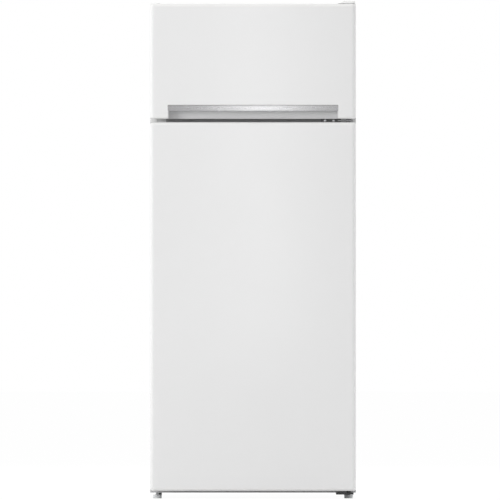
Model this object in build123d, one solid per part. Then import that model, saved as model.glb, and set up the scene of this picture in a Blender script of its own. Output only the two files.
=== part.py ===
"""Free-standing top freezer refrigerator, built as an assembly of separate pieces.

Frame: +Z up from the floor, X across the front, -Y towards the user, millimetres.
The origin is on the floor, under the middle of the cabinet with its doors and rear spacers.
Both doors are hinged on the right, on one vertical pin axis.
"""

from build123d import *
import os

# ---------------------------------------------------------------- overall sizes
width = 600.0  # cabinet and doors
overall_depth = 610.0  # door front to the tips of the rear spacers
cabinet_bottom = 17.0  # lower edge of the side panels above the floor
rear_space = 36.0  # room for the condenser behind the back panel
cut_extra = 1.0  # how far a cut starts outside what it cuts
tolerance = 0.01  # when two places count as one

# ---------------------------------------------------------------- doors
door_thickness = 50.0
door_corner_radius = 12.0
fridge_door_rise = 6.0  # fridge door bottom above the cabinet's lower edge
fridge_door_height = 1074.0
door_gap = 10.0  # between the two doors
freezer_door_height = 335.0
freezer_door_drop = 1.0  # freezer door top below the cabinet top
gasket_gap = 12.0  # door rear to cabinet front
skin_thickness = 1.0
skin_return = 12.0  # folded strip on the door's rear edge
cap_lip = 9.0  # part of an end cap that shows
cap_plug = 12.0  # part of an end cap inside the skin
cap_edge_radius = 8.0
cap_rear_radius = 1.0

# ---------------------------------------------------------------- freezer door handle
handle_side_margin = 51.5  # from each side of the door
handle_height = 40.5
bar_height = 17.5
bar_thickness = 6.0
bar_crown = 1.6  # how far the bar's front bulges
recess_depth = 26.0
recess_wall = 2.0

# ---------------------------------------------------------------- fridge door grip channel
grip_front_wall = 12.0
grip_channel_depth = 22.0
grip_channel_height = 12.0
grip_corner_radius = 6.0

# ---------------------------------------------------------------- insulation and liners
side_wall = 50.0
top_wall = 55.0
back_wall = 45.0
floor_wall = 56.0
divider_thickness = 50.0
liner_thickness = 1.5
liner_radius = 10.0
sheet_thickness = 1.0  # cabinet steel
wrapper_radius = 5.0
flange_margin = 3.0  # steel front flange stops this far from a cavity

# ---------------------------------------------------------------- machine bay
bay_depth = 175.0
bay_headroom = 13.0  # evaporation tray to the ceiling of the bay
hump_wall = 36.0  # insulation over and before the machine bay
deck_rise = 18.0  # underside sheet above the cabinet's bottom edge
rail_thickness = 2.0
rail_flange = 55.0
base_plate_rise = 26.0
base_plate_thickness = 2.0
base_flange = 20.0

# ---------------------------------------------------------------- hinges
pin_inset_side = 22.0
pin_inset_front = 30.0
pin_radius = 4.0
pin_length = 13.0
pin_clearance = 0.08
collar_radius = 7.0
running_gap = 0.3
hinge_plate = 3.0
middle_hinge_inner_inset = 52.0  # plate's inner edge from the cabinet side
hinge_outer_inset = 7.0
hinge_nose = 13.0  # plate ahead of the pin axis
hinge_corner_radius = 8.0
top_hinge_tail = 55.0  # plate behind the cabinet front
bottom_hinge_tail = 38.0
top_hinge_inner_inset = 38.0
bottom_hinge_inner_inset = 58.0
bottom_lip_drop = 5.0  # front lip below the cabinet's lower edge
middle_flange_width = 50.0  # beside the plate, for the screws
middle_flange_gap = 1.5  # to the gasket above and below
cover_side_gap = 2.0
cover_width = 51.0
cover_slope = 16.0  # how far the cover's inner side leans outwards on its way up
cover_height = 8.0
cover_wall = 1.6
cover_edge_radius = 2.5
cover_tail = 68.0
cover_nose = 8.0  # cover stops this far behind the door front
plug_length = 19.0
plug_height = 8.0
plug_thickness = 2.0
plug_disc_radius = 5.5
plug_edge_radius = 1.5
screw_head_radius = 4.5
screw_head_height = 2.4
screw_radius = 2.5
screw_clearance = 0.2
screw_margin = 7.0  # screw axis to a plate's edge
screw_spacing = 14.0
top_screw_setback = 14.0  # first top screw behind the cabinet front
top_screw_spacing = 32.0

# ---------------------------------------------------------------- feet and rollers
foot_inset_side = 21.0
foot_inset_front = 22.0  # behind the cabinet front
foot_radius = 12.5
foot_pad_height = 10.0
foot_pad_edge = 3.0
foot_neck_radius = 8.0
foot_neck_height = 3.0
foot_stud_radius = 4.0
foot_stud_spare = 4.0  # stud above its boss
foot_boss_radius = 8.0
foot_boss_height = 8.0
foot_plate_hole = 6.0  # radius of the hole in the bottom hinge around the stud
roller_radius = 16.0
roller_width = 14.0
roller_inset_side = 24.0
roller_inset_back = 24.0
roller_edge_radius = 1.5
axle_radius = 3.0
roller_side_gap = 2.0
axle_overhang = 3.0
ear_half_length = 11.0
ear_drop = 7.5  # ear below the axle's middle

# ---------------------------------------------------------------- gaskets and door liners
gasket_width = 14.0
dyke_margin = 7.0
dyke_width = 26.0
dyke_height = 30.0
dyke_radius = 14.0
dyke_inner_radius = 6.0
dyke_foam_radius = 2.0  # inner corners of the foam core, where the liner is thicker
boss_width = 14.0
boss_height = 8.0
boss_setback = 4.0  # from the panel and from the dyke's crest

# ---------------------------------------------------------------- door bins
bin_side_gap = 1.0
bin_wall = 2.5
bin_radius = 9.0
bin_depth = 92.0
bin_height = 72.0
bin_count = 3
bin_headroom = 85.0  # dyke above the top bin
bottle_rack_depth = 105.0
bottle_rack_height = 112.0
bottle_rack_rise = 12.0  # above the dyke's lower bar
bottle_room = 330.0  # bottle rack to the first bin
freezer_bin_depth = 66.0
freezer_bin_height = 54.0
freezer_bin_count = 2
freezer_bin_headroom = 30.0

# ---------------------------------------------------------------- shelves and ledges
ledge_depth = 8.0
ledge_height = 6.0
ledge_count = 9
ledge_pitch = 66.0
ledge_start = 125.0  # lowest ledge of the row above the crisper cover
free_ledge_count = 1  # below the lowest glass shelf
shelf_ledge_count = 3  # ledges from one glass shelf to the next
glass_thickness = 4.0
glass_side_gap = 2.0
shelf_front_setback = 122.0  # shelf front behind the cabinet front
trim_thickness = 3.0
trim_depth = 12.0
trim_radius = 2.4
crisper_cover_rise = 1.0  # cover glass above the hump's rounded edge
freezer_shelf_rise = 125.0  # above the freezer floor
wire_radius = 1.5
frame_wire_radius = 2.5
frame_corner_radius = 12.0
wire_pitch = 22.0

# ---------------------------------------------------------------- crisper drawers
crisper_gap = 3.0
crisper_headroom = 9.0  # drawer's rim below the cover's trim
crisper_wall = 2.5
crisper_radius = 12.0
crisper_front_wall = 4.0
crisper_lip = 10.0

# ---------------------------------------------------------------- controls and lamp
housing_width = 240.0
housing_depth = 120.0
housing_height = 38.0
housing_setback = 38.0
housing_wall = 2.0
housing_radius = 6.0
knob_radius = 15.0
knob_height = 12.0
knob_edge = 0.8
ridge_width = 6.0
knob_offset = 62.0
knob_shaft_radius = 3.0
socket_depth = 10.0
thermostat_size = 34.0
button_radius = 4.0
button_offset = 96.0
button_travel = 4.0
button_tip_radius = 1.5
button_head = 2.0  # collar behind the housing's front
window_offset = 60.0
window_width = 90.0
window_depth = 62.0
window_flange = 2.0
window_flange_thickness = 1.5
lens_gap = 0.2
lamp_radius = 12.0
lamp_drop = 17.0  # lamp's middle below the ceiling
lamp_socket_radius = 9.0
lamp_socket_length = 29.0
lamp_stand_width = 12.0

# ---------------------------------------------------------------- cooling circuit
compressor_x = -60.0
compressor_length = 190.0
compressor_depth = 136.0
compressor_height = 148.0
compressor_dome = 42.0
compressor_wall = 3.5
motor_radius = 45.0
motor_height = 84.0
motor_standoff = 20.0
motor_spring_radius = 5.0
motor_spring_circle = 20.0
seam_height = 5.0
seam_overhang = 3.0
foot_plate_length = 206.0
foot_plate_depth = 116.0
foot_plate_thickness = 3.0
foot_plate_radius = 10.0
grommet_radius = 10.0
grommet_height = 12.0
grommet_inset = 13.0
bolt_radius = 3.0
bolt_head_radius = 5.5
bolt_head_height = 4.0
starter_length = 40.0
starter_width = 60.0
starter_height = 62.0
starter_radius = 5.0
cord_slot_size = 8.0
tray_length = 210.0
tray_depth = 130.0
tray_height = 26.0
tray_wall = 2.0
tray_radius = 8.0
condenser_side_margin = 65.0  # from the cabinet side
condenser_lift = 55.0  # above the back panel's lower edge
condenser_top_margin = 250.0  # below the cabinet top
tube_radius = 2.5
tube_standoff = 15.0  # tube line behind the back panel
tube_pitch = 55.0
condenser_wire_radius = 0.8
condenser_wires_per_side = 24
clip_height = 16.0
clip_gap = 0.7  # to the wires beside it
clip_slot = 3  # which gap between wires, from each side, holds a clip
evaporator_thickness = 1.5
evaporator_setback = 70.0
fridge_evaporator_width = 380.0
fridge_evaporator_height = 320.0
fridge_evaporator_drop = 90.0  # below the fridge ceiling
drier_radius = 9.0
drier_length = 110.0
drier_offset = 18.0
drier_drop = 40.0
drier_edge_radius = 6.0
pipe_radius = 3.0
pipe_bend = 12.0
pipe_spacing = 60.0  # between the compressor's two stubs
pipe_standoff = 14.0  # suction line behind the compressor
riser_inset = 28.0  # hot gas riser from the cabinet side
suction_inset = 60.0
drain_radius = 7.0
drain_bore = 5.0

# ---------------------------------------------------------------- places worked out from the sizes
half_width = width / 2
front_y = -overall_depth / 2
rear_y = overall_depth / 2
door_rear_y = front_y + door_thickness
cabinet_front_y = door_rear_y + gasket_gap
back_y = rear_y - rear_space
fridge_door_bottom = cabinet_bottom + fridge_door_rise
fridge_door_top = fridge_door_bottom + fridge_door_height
freezer_door_bottom = fridge_door_top + door_gap
freezer_door_top = freezer_door_bottom + freezer_door_height
cabinet_top = freezer_door_top + freezer_door_drop
divider_middle = fridge_door_top + door_gap / 2
pin_x = half_width - pin_inset_side
pin_y = front_y + pin_inset_front

cavity_half = half_width - side_wall
cavity_back_y = back_y - back_wall
fridge_floor = cabinet_bottom + floor_wall
fridge_ceiling = divider_middle - divider_thickness / 2
freezer_floor = divider_middle + divider_thickness / 2
freezer_ceiling = cabinet_top - top_wall
bay_front_y = back_y - bay_depth
base_plate_z = cabinet_bottom + base_plate_rise  # upper face
compressor_base_z = base_plate_z + grommet_height
compressor_bottom_z = compressor_base_z + foot_plate_thickness
compressor_top_z = compressor_bottom_z + compressor_height
bay_top = compressor_top_z + tray_height + bay_headroom
hump_front_y = bay_front_y - hump_wall
hump_top = bay_top + hump_wall
deck_z = cabinet_bottom + deck_rise
rail_top = fridge_floor - flange_margin
shelf_front_y = cabinet_front_y + shelf_front_setback
crisper_cover_z = hump_top + liner_radius + crisper_cover_rise
crisper_bottom = fridge_floor + running_gap
crisper_top = crisper_cover_z - trim_thickness - crisper_headroom
freezer_shelf_level = freezer_floor + freezer_shelf_rise
foot_x = half_width - foot_inset_side
foot_y = cabinet_front_y + foot_inset_front
foot_stud_top = cabinet_bottom + rail_thickness + foot_boss_height + foot_stud_spare
dyke_rear_y = door_rear_y + dyke_height
dyke_reach = dyke_margin + dyke_width  # compartment wall to the dyke's inner side
bin_half = cavity_half - dyke_reach - bin_side_gap
handle_half = half_width - handle_side_margin
handle_top = freezer_door_bottom + handle_height
bar_bottom = handle_top - bar_height
recess_back_y = front_y + recess_depth
housing_front_y = cabinet_front_y + housing_setback
knob_z = fridge_ceiling - housing_height / 2
compressor_y = bay_front_y + bay_depth / 2
tube_y = back_y + tube_standoff
condenser_bottom = bay_top + condenser_lift
condenser_half = half_width - condenser_side_margin - tube_pitch / 2  # straight runs
wire_spacing = 2 * condenser_half / (condenser_wires_per_side - 1)


# ---------------------------------------------------------------- helpers
def block(x0, x1, y0, y1, z0, z1):
    """A box between two corners."""
    return Pos((x0 + x1) / 2, (y0 + y1) / 2, (z0 + z1) / 2) * Box(x1 - x0, y1 - y0, z1 - z0)


def rod(start, direction, radius, length):
    """A round bar from a point along a direction."""
    return extrude(Plane(origin=start, z_dir=direction) * Circle(radius), amount=length)


def prism_x(points, half):
    """A YZ outline extruded both ways along X."""
    return extrude(Plane.YZ * make_face(Polyline(*points, close=True)), amount=half, both=True)


def group(*shapes):
    """Separate solids kept together in one node."""
    return Compound([solid for shape in shapes for solid in shape.solids()])


def rounded_tub(half, y0, y1, z0, z1, radius):
    """A box with every edge rounded except those of its front face."""
    box = block(-half, half, y0, y1, z0, z1)
    edges = box.edges().filter_by(lambda e: e.center().Y > y0 + tolerance)
    return fillet(edges, radius)


def fridge_cavity(grow):
    """The fridge compartment's space, grown by a wall, with its step over the machine bay."""
    radius = liner_radius + grow
    half = cavity_half + grow
    low = rounded_tub(
        half, cabinet_front_y, hump_front_y + grow, fridge_floor - grow, fridge_ceiling + grow, radius
    )
    high = rounded_tub(
        half, cabinet_front_y, cavity_back_y + grow, hump_top - grow, fridge_ceiling + grow, radius
    )
    return low + high


def freezer_cavity(grow):
    """The freezer compartment's space, grown by a wall."""
    return rounded_tub(
        cavity_half + grow,
        cabinet_front_y,
        cavity_back_y + grow,
        freezer_floor - grow,
        freezer_ceiling + grow,
        liner_radius + grow,
    )


def cabinet_outline(inset, bottom):
    """The cabinet seen from the front, with rounded top corners."""
    top = cabinet_top - inset
    face = Pos(0, (top + bottom) / 2) * Rectangle(width - 2 * inset, top - bottom)
    return fillet(face.vertices().sort_by(Axis.Y)[-2:], wrapper_radius - inset)


def cabinet_prism(inset, bottom, y0, y1):
    """The cabinet's outline as a solid between two depths."""
    face = Plane(origin=(0, y0, 0), x_dir=(1, 0, 0), z_dir=(0, -1, 0)) * cabinet_outline(inset, bottom)
    return extrude(face, amount=-(y1 - y0))


def door_prism(inset, rear, z0, z1):
    """A door's outline, rounded at the front, between two heights."""
    front = front_y + inset
    face = Pos(0, (front + rear) / 2) * Rectangle(width - 2 * inset, rear - front)
    face = fillet(face.vertices().sort_by(Axis.Y)[:2], door_corner_radius - inset)
    return extrude(Pos(0, 0, z0) * face, amount=z1 - z0)


def screw(point, direction, length):
    """A pan-head screw whose head sits on a surface at point; direction is the way it is driven."""
    head = rod(point, tuple(-c for c in direction), screw_head_radius, screw_head_height)
    shank = rod(point, direction, screw_radius, length)
    return head + shank


def screw_hole(point, direction, length):
    """The clearance hole for a screw, started above the surface."""
    above = tuple(p - cut_extra * c for p, c in zip(point, direction))
    return rod(above, direction, screw_radius + screw_clearance, length + 2 * cut_extra)


def drain_point():
    """Where the defrost drain comes down, over the evaporation tray."""
    return compressor_x + tray_length / 4, cavity_back_y - 2 * liner_radius


def drain_hole(z, length):
    """The hole that the drain hose passes through, from a height upwards."""
    x, y = drain_point()
    return rod((x, y, z), (0, 0, 1), drain_radius, length)


# ---------------------------------------------------------------- cabinet
def top_hinge_screw_points():
    """Screws of the top hinge on the cabinet's top."""
    x = half_width - (top_hinge_inner_inset + hinge_outer_inset) / 2
    y = cabinet_front_y + top_screw_setback
    z = cabinet_top + hinge_plate
    return [(x, y, z), (x, y + top_screw_spacing, z)]


def bottom_hinge_screw_points():
    """Screws of the bottom hinge, driven up into the base rail."""
    x = half_width - bottom_hinge_inner_inset + screw_margin
    y = cabinet_front_y + bottom_hinge_tail / 2
    z = cabinet_bottom - hinge_plate
    return [(x, y - screw_spacing / 2, z), (x, y + screw_spacing / 2, z)]


def middle_hinge_screw_points():
    """Screws of the middle hinge, driven back into the divider strip."""
    x = half_width - middle_hinge_inner_inset - middle_flange_width / 2
    y = cabinet_front_y - hinge_plate
    offset = middle_flange_width / 4
    return [(x - offset, y, divider_middle), (x + offset, y, divider_middle)]


def cabinet_wrapper():
    """Painted steel sheet over the sides and top, with front flanges."""
    t = sheet_thickness
    under = cabinet_bottom - cut_extra
    shell = cabinet_prism(0, cabinet_bottom, cabinet_front_y, back_y)
    shell -= cabinet_prism(t, under, cabinet_front_y + t, back_y + cut_extra)
    opening = cavity_half + flange_margin
    y0 = cabinet_front_y - cut_extra
    y1 = cabinet_front_y + t + cut_extra
    shell -= block(-opening, opening, y0, y1, under, freezer_ceiling + flange_margin)
    shell -= block(t - half_width, half_width - t, y0, y1, under, rail_top)
    for point in top_hinge_screw_points():
        shell -= screw_hole(point, (0, 0, -1), hinge_plate + sheet_thickness)
    return shell


def back_panel():
    """Flat steel sheet closing the back above the machine bay."""
    return cabinet_prism(sheet_thickness, bay_top, back_y - sheet_thickness, back_y)


def bottom_deck():
    """Folded sheet under the foam: the underside, then up and over the machine bay."""
    t = sheet_thickness
    y0 = cabinet_front_y + t
    y1 = back_y - t
    outline = [
        (y0, deck_z), (bay_front_y, deck_z), (bay_front_y, bay_top - t), (y1, bay_top - t),
        (y1, bay_top), (bay_front_y - t, bay_top), (bay_front_y - t, deck_z + t), (y0, deck_z + t),
    ]
    deck = prism_x(outline, half_width - t)
    return deck - drain_hole(bay_top - 2 * t, 4 * t)


def cabinet_foam():
    """Insulation poured between the steel and the liners."""
    t = sheet_thickness
    block_foam = cabinet_prism(t, deck_z + t, cabinet_front_y + t, back_y - t)
    block_foam -= block(
        -half_width, half_width, bay_front_y - t, back_y, cabinet_bottom, bay_top
    )
    foam = block_foam - fridge_cavity(liner_thickness) - freezer_cavity(liner_thickness)
    foam -= freezer_evaporator()
    foam -= fridge_evaporator()
    return foam - drain_hole(bay_top - t, hump_wall + 2 * t)


def ledge(side, y0, y1, top):
    """A moulded shelf ledge on one side wall of a liner."""
    x0 = side * (cavity_half - ledge_depth)
    x1 = side * (cavity_half + liner_thickness / 2)
    bar = block(min(x0, x1), max(x0, x1), y0, y1, top - ledge_height, top)
    inner = bar.edges().filter_by(lambda e: abs(e.center().X - x0) < tolerance)
    return fillet(inner, ledge_height / 3)


def ledge_tops():
    """Heights of the row of fridge ledges that shelves can rest on."""
    return [crisper_cover_z + ledge_start + i * ledge_pitch for i in range(ledge_count)]


def liner_lip(z0, z1):
    """The liner's flat edge around its opening, level with the cabinet's front flange."""
    reach = cavity_half + flange_margin
    return block(-reach, reach, cabinet_front_y, cabinet_front_y + sheet_thickness, z0, z1)


def fridge_liner():
    """White moulded tub of the fridge compartment with its shelf ledges."""
    liner = fridge_cavity(liner_thickness)
    liner += liner_lip(fridge_floor - flange_margin, fridge_ceiling + flange_margin)
    liner -= fridge_cavity(0)
    for side in (-1, 1):
        liner += ledge(side, shelf_front_y, hump_front_y - liner_radius, crisper_cover_z)
        for top in ledge_tops():
            liner += ledge(side, shelf_front_y, cavity_back_y - 2 * liner_radius, top)
    return liner - drain_hole(hump_top - 2 * liner_thickness, 4 * liner_thickness)


def freezer_liner():
    """White moulded tub of the freezer compartment with one pair of ledges."""
    liner = freezer_cavity(liner_thickness)
    liner += liner_lip(freezer_floor - flange_margin, freezer_ceiling + flange_margin)
    liner -= freezer_cavity(0)
    ledge_back = cavity_back_y - 2 * liner_radius
    for side in (-1, 1):
        liner += ledge(side, shelf_front_y, ledge_back, freezer_shelf_level)
    return liner


def divider_strip():
    """Steel strip across the front between the two compartments, where the middle hinge is screwed."""
    reach = cavity_half + flange_margin
    strip = block(
        -reach, reach, cabinet_front_y, cabinet_front_y + sheet_thickness,
        fridge_ceiling + flange_margin, freezer_floor - flange_margin,
    )
    for point in middle_hinge_screw_points():
        strip -= screw_hole(point, (0, 1, 0), hinge_plate + sheet_thickness)
    return strip


def front_base_rail():
    """Folded steel rail under the front, with a threaded boss for each levelling foot."""
    half = half_width - sheet_thickness
    front = cabinet_front_y
    face = block(-half, half, front, front + sheet_thickness, cabinet_bottom, rail_top)
    flange = block(
        -half, half, front, front + rail_flange, cabinet_bottom, cabinet_bottom + rail_thickness
    )
    rail = face + flange
    for side in (-1, 1):
        foot = (side * foot_x, foot_y, cabinet_bottom + rail_thickness)
        rail += rod(foot, (0, 0, 1), foot_boss_radius, foot_boss_height)
        under = (side * foot_x, foot_y, cabinet_bottom - cut_extra)
        through = foot_stud_top - cabinet_bottom + cut_extra
        rail -= rod(under, (0, 0, 1), foot_stud_radius + pin_clearance, through)
    for point in bottom_hinge_screw_points():
        rail -= screw_hole(point, (0, 0, 1), hinge_plate + rail_thickness)
    return rail


def hole_plugs():
    """White plugs on the left, where the hinges go when the doors are hung the other way."""
    x0 = -half_width + sheet_thickness
    plate = block(
        x0, x0 + plug_length, cabinet_front_y - plug_thickness, cabinet_front_y,
        divider_middle - plug_height / 2, divider_middle + plug_height / 2,
    )
    plugs = [fillet(plate.edges().filter_by(Axis.Y), plug_edge_radius)]
    for point in top_hinge_screw_points():
        start = (-point[0], point[1], cabinet_top)
        disc = rod(start, (0, 0, 1), plug_disc_radius, plug_thickness)
        plugs.append(chamfer(disc.faces().sort_by(Axis.Z)[-1].edges(), plug_thickness / 4))
    return group(*plugs)


# ---------------------------------------------------------------- hinges
def hinge_leaf(x0, x1, y0, y1, z0, z1):
    """A flat hinge plate with a rounded nose."""
    leaf = block(x0, x1, y0, y1, z0, z1)
    corners = leaf.edges().filter_by(Axis.Z).sort_by(Axis.Y)[:2]
    return fillet(corners, hinge_corner_radius)


def top_hinge():
    """Steel plate on the cabinet top with a pin down into the freezer door."""
    x0 = half_width - top_hinge_inner_inset
    x1 = half_width - hinge_outer_inset
    top = cabinet_top + hinge_plate
    leaf = hinge_leaf(
        x0, x1, pin_y - hinge_nose, cabinet_front_y + top_hinge_tail, cabinet_top, top
    )
    leaf += rod((pin_x, pin_y, cabinet_top), (0, 0, -1), pin_radius, freezer_door_drop + pin_length)
    for point in top_hinge_screw_points():
        leaf -= screw_hole(point, (0, 0, -1), hinge_plate)
    return leaf


def cover_prism(inset):
    """The top hinge cover's outside, or its inside set in by a wall."""
    lean = cover_slope / cover_height
    x1 = half_width - cover_side_gap - inset
    x0 = half_width - cover_side_gap - cover_width + inset * (1 + lean**2) ** 0.5
    y0 = front_y + cover_nose + inset
    y1 = cabinet_front_y + cover_tail - inset
    z0 = cabinet_top - inset
    z1 = cabinet_top + cover_height - inset
    low_x = x0 - inset * lean
    high_x = x0 + (z1 - cabinet_top) * lean
    outline = make_face(Polyline((low_x, z0), (x1, z0), (x1, z1), (high_x, z1), close=True))
    plane = Plane(origin=(0, y1, 0), x_dir=(1, 0, 0), z_dir=(0, -1, 0))
    prism = extrude(plane * outline, amount=y1 - y0)
    return fillet(prism.edges().filter_by(Axis.Z), hinge_corner_radius - inset)


def top_hinge_cover():
    """White plastic cap over the top hinge, open underneath, with a sloping inner side."""
    cap = cover_prism(0)
    upper = cap.edges().filter_by(lambda e: e.center().Z > cabinet_top + cover_height / 4)
    cap = fillet(upper.filter_by(Axis.Z, reverse=True), cover_edge_radius)
    return cap - cover_prism(cover_wall)


def middle_hinge():
    """Bracket between the doors with a pin up and a pin down."""
    x0 = half_width - middle_hinge_inner_inset
    x1 = half_width - hinge_outer_inset
    z0 = divider_middle - hinge_plate / 2
    z1 = divider_middle + hinge_plate / 2
    hinge = hinge_leaf(x0, x1, pin_y - hinge_nose, cabinet_front_y, z0, z1)
    flange_half = divider_thickness / 2 - flange_margin - gasket_width - middle_flange_gap
    hinge += block(
        x0 - middle_flange_width, x0 + hinge_corner_radius, cabinet_front_y - hinge_plate,
        cabinet_front_y, divider_middle - flange_half, divider_middle + flange_half,
    )
    collar = door_gap / 2 - hinge_plate / 2 - running_gap
    for way, z in ((1, z1), (-1, z0)):
        hinge += rod((pin_x, pin_y, z), (0, 0, way), collar_radius, collar)
        hinge += rod((pin_x, pin_y, z), (0, 0, way), pin_radius, collar + pin_length)
    for point in middle_hinge_screw_points():
        hinge -= screw_hole(point, (0, 1, 0), hinge_plate)
    return hinge


def bottom_hinge():
    """Black bracket under the cabinet with a pin up into the fridge door."""
    x0 = half_width - bottom_hinge_inner_inset
    x1 = half_width - hinge_outer_inset
    y0 = pin_y - hinge_nose
    z1 = cabinet_bottom
    z0 = z1 - hinge_plate
    hinge = block(x0, x1, y0, cabinet_front_y + bottom_hinge_tail, z0, z1)
    hinge += block(x0, x1, y0, y0 + hinge_plate, z1 - bottom_lip_drop, z1)
    collar = fridge_door_bottom - z1 - running_gap
    hinge += rod((pin_x, pin_y, z1), (0, 0, 1), collar_radius, collar)
    hinge += rod((pin_x, pin_y, z1), (0, 0, 1), pin_radius, collar + pin_length)
    under = (foot_x, foot_y, z0 - cut_extra)
    hinge -= rod(under, (0, 0, 1), foot_plate_hole, hinge_plate + 2 * cut_extra)
    for point in bottom_hinge_screw_points():
        hinge -= screw_hole(point, (0, 0, 1), hinge_plate)
    return hinge


def fasteners():
    """The six screws of the three hinges and the four bolts of the compressor."""
    into_sheet = hinge_plate + sheet_thickness
    screws = [screw(p, (0, 0, -1), into_sheet) for p in top_hinge_screw_points()]
    screws += [screw(p, (0, 1, 0), into_sheet) for p in middle_hinge_screw_points()]
    screws += [screw(p, (0, 0, 1), hinge_plate + rail_thickness) for p in bottom_hinge_screw_points()]
    return group(*screws, *compressor_bolts())


# ---------------------------------------------------------------- doors
def pin_hole(z, way):
    """The bush hole for a hinge pin in an end cap."""
    start = (pin_x, pin_y, z - way * cut_extra)
    depth = pin_length + 2 * cut_extra + running_gap
    return rod(start, (0, 0, way), pin_radius + pin_clearance, depth)


def rounded_end(z, way, reach):
    """A door's end: its front and side edges are well rounded, its rear edge just broken."""
    end = door_prism(0, door_rear_y, min(z, z + way * reach), max(z, z + way * reach))
    outer = end.faces().sort_by(Axis.Z)[0 if way > 0 else -1]
    end = fillet(outer.outer_wire().edges().sort_by(Axis.Y)[:-1], cap_edge_radius)
    outer = end.faces().sort_by(Axis.Z)[0 if way > 0 else -1]
    return fillet(outer.edges().sort_by(Axis.Y)[-1], cap_rear_radius)


def end_cap(z, way):
    """A door's plastic end cap: a rounded lip that shows and a plug inside the skin."""
    lip = rounded_end(z, way, cap_lip)
    inner = z + way * (cap_lip + cap_plug)
    plug_rear = door_rear_y - liner_thickness
    plug = door_prism(
        skin_thickness, plug_rear, min(z + way * cap_lip, inner), max(z + way * cap_lip, inner)
    )
    return lip + plug - pin_hole(z, way)


def door_skin(z0, z1):
    """Painted steel front, folded round both sides and onto the rear edges."""
    low = z0 + cap_lip
    high = z1 - cap_lip
    skin = door_prism(0, door_rear_y, low, high)
    under = low - cut_extra
    over = high + cut_extra
    skin -= door_prism(skin_thickness, door_rear_y - skin_thickness, under, over)
    window = half_width - skin_return
    y0 = door_rear_y - skin_thickness - cut_extra
    return skin - block(-window, window, y0, door_rear_y + cut_extra, under, over)


def dyke_ring(shrink, cavity_low, cavity_high):
    """The raised frame on a door's inner face, which enters the compartment."""
    half = cavity_half - dyke_margin - shrink
    low = cavity_low + dyke_margin + shrink
    high = cavity_high - dyke_margin - shrink
    inside = dyke_width - 2 * shrink
    y0 = door_rear_y - liner_thickness
    y1 = dyke_rear_y - shrink
    centre = (low + high) / 2
    plane = Plane(origin=(0, y0, centre), x_dir=(1, 0, 0), z_dir=(0, -1, 0))
    corner = dyke_foam_radius if shrink else dyke_inner_radius
    outer = RectangleRounded(2 * half, high - low, dyke_radius - shrink)
    inner = RectangleRounded(2 * (half - inside), high - low - 2 * inside, corner)
    return extrude(plane * (outer - inner), amount=-(y1 - y0))


def door_liner(z0, z1, cavity_low, cavity_high, boss_levels):
    """White moulded inner panel with its dyke and the bosses that the bins sit on."""
    half = half_width - skin_return
    plate = block(
        -half, half, door_rear_y - liner_thickness, door_rear_y, z0 + cap_lip, z1 - cap_lip
    )
    liner = plate + dyke_ring(0, cavity_low, cavity_high)
    liner -= dyke_ring(liner_thickness, cavity_low, cavity_high)
    wall = cavity_half - dyke_reach
    for level in boss_levels:
        for side in (-1, 1):
            x0, x1 = sorted((side * (wall - boss_width), side * (wall + liner_thickness / 2)))
            liner += block(
                x0, x1, door_rear_y + boss_setback, dyke_rear_y - boss_setback,
                level - boss_height, level,
            )
    return liner


def door_foam(z0, z1, cavity_low, cavity_high):
    """Insulation inside a door, between its end caps and into the dyke."""
    low = z0 + cap_lip + cap_plug
    high = z1 - cap_lip - cap_plug
    slab = door_prism(skin_thickness, door_rear_y - liner_thickness, low, high)
    return slab + dyke_ring(liner_thickness, cavity_low, cavity_high)


def handle_notch():
    """The space cut from the freezer door's lower edge for the handle."""
    return block(
        -handle_half, handle_half, front_y - cut_extra, recess_back_y,
        freezer_door_bottom - cut_extra, handle_top,
    )


def freezer_handle_bar():
    """Satin metal-look grip bar across the top of the recess, slightly crowned."""
    edge_y = front_y + bar_crown
    back = front_y + bar_thickness
    middle = (bar_bottom + handle_top) / 2
    outline = Line((back, handle_top), (edge_y, handle_top))
    outline += ThreePointArc((edge_y, handle_top), (front_y, middle), (edge_y, bar_bottom))
    outline += Line((edge_y, bar_bottom), (back, bar_bottom))
    outline += Line((back, bar_bottom), (back, handle_top))
    return extrude(Plane.YZ * make_face(outline), amount=handle_half, both=True)


def freezer_handle_recess():
    """Grey moulded finger pocket behind and below the bar, open underneath."""
    half = handle_half
    w = recess_wall
    y0 = front_y - cut_extra
    pocket = block(-half, half, front_y, recess_back_y, freezer_door_bottom, handle_top)
    pocket -= block(
        w - half, half - w, y0, recess_back_y - w, freezer_door_bottom - cut_extra, handle_top - w
    )
    wide = half + cut_extra
    bar_seat = block(-wide, wide, y0, front_y + bar_thickness, bar_bottom, handle_top + cut_extra)
    return (pocket - bar_seat) & rounded_end(freezer_door_bottom, 1, handle_height)


def grip_channel():
    """The finger channel in the fridge door's upper edge, under the freezer door's recess."""
    y0 = front_y + grip_front_wall
    channel = block(
        -handle_half, handle_half, y0, y0 + grip_channel_depth,
        fridge_door_top - grip_channel_height, fridge_door_top + cut_extra,
    )
    return fillet(channel.edges().filter_by(Axis.Z), grip_corner_radius)


def door_gasket(cavity_low, cavity_high):
    """Magnetic seal, a soft frame between a door and the cabinet's front flange."""
    inner_half = cavity_half + flange_margin
    half = inner_half + gasket_width
    low = cavity_low - flange_margin - gasket_width
    high = cavity_high + flange_margin + gasket_width
    centre = (low + high) / 2
    plane = Plane(origin=(0, door_rear_y, centre), x_dir=(1, 0, 0), z_dir=(0, -1, 0))
    ring = Rectangle(2 * half, high - low)
    ring -= Rectangle(2 * inner_half, high - low - 2 * gasket_width)
    return extrude(plane * ring, amount=-(gasket_gap - running_gap))


def spaced(first, last, count):
    """Evenly spaced levels from the first to the last."""
    return [first + i * (last - first) / (count - 1) for i in range(count)]


def bottle_rack_level():
    """Height of the bottle rack's floor."""
    return fridge_floor + dyke_reach + bottle_rack_rise


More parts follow.
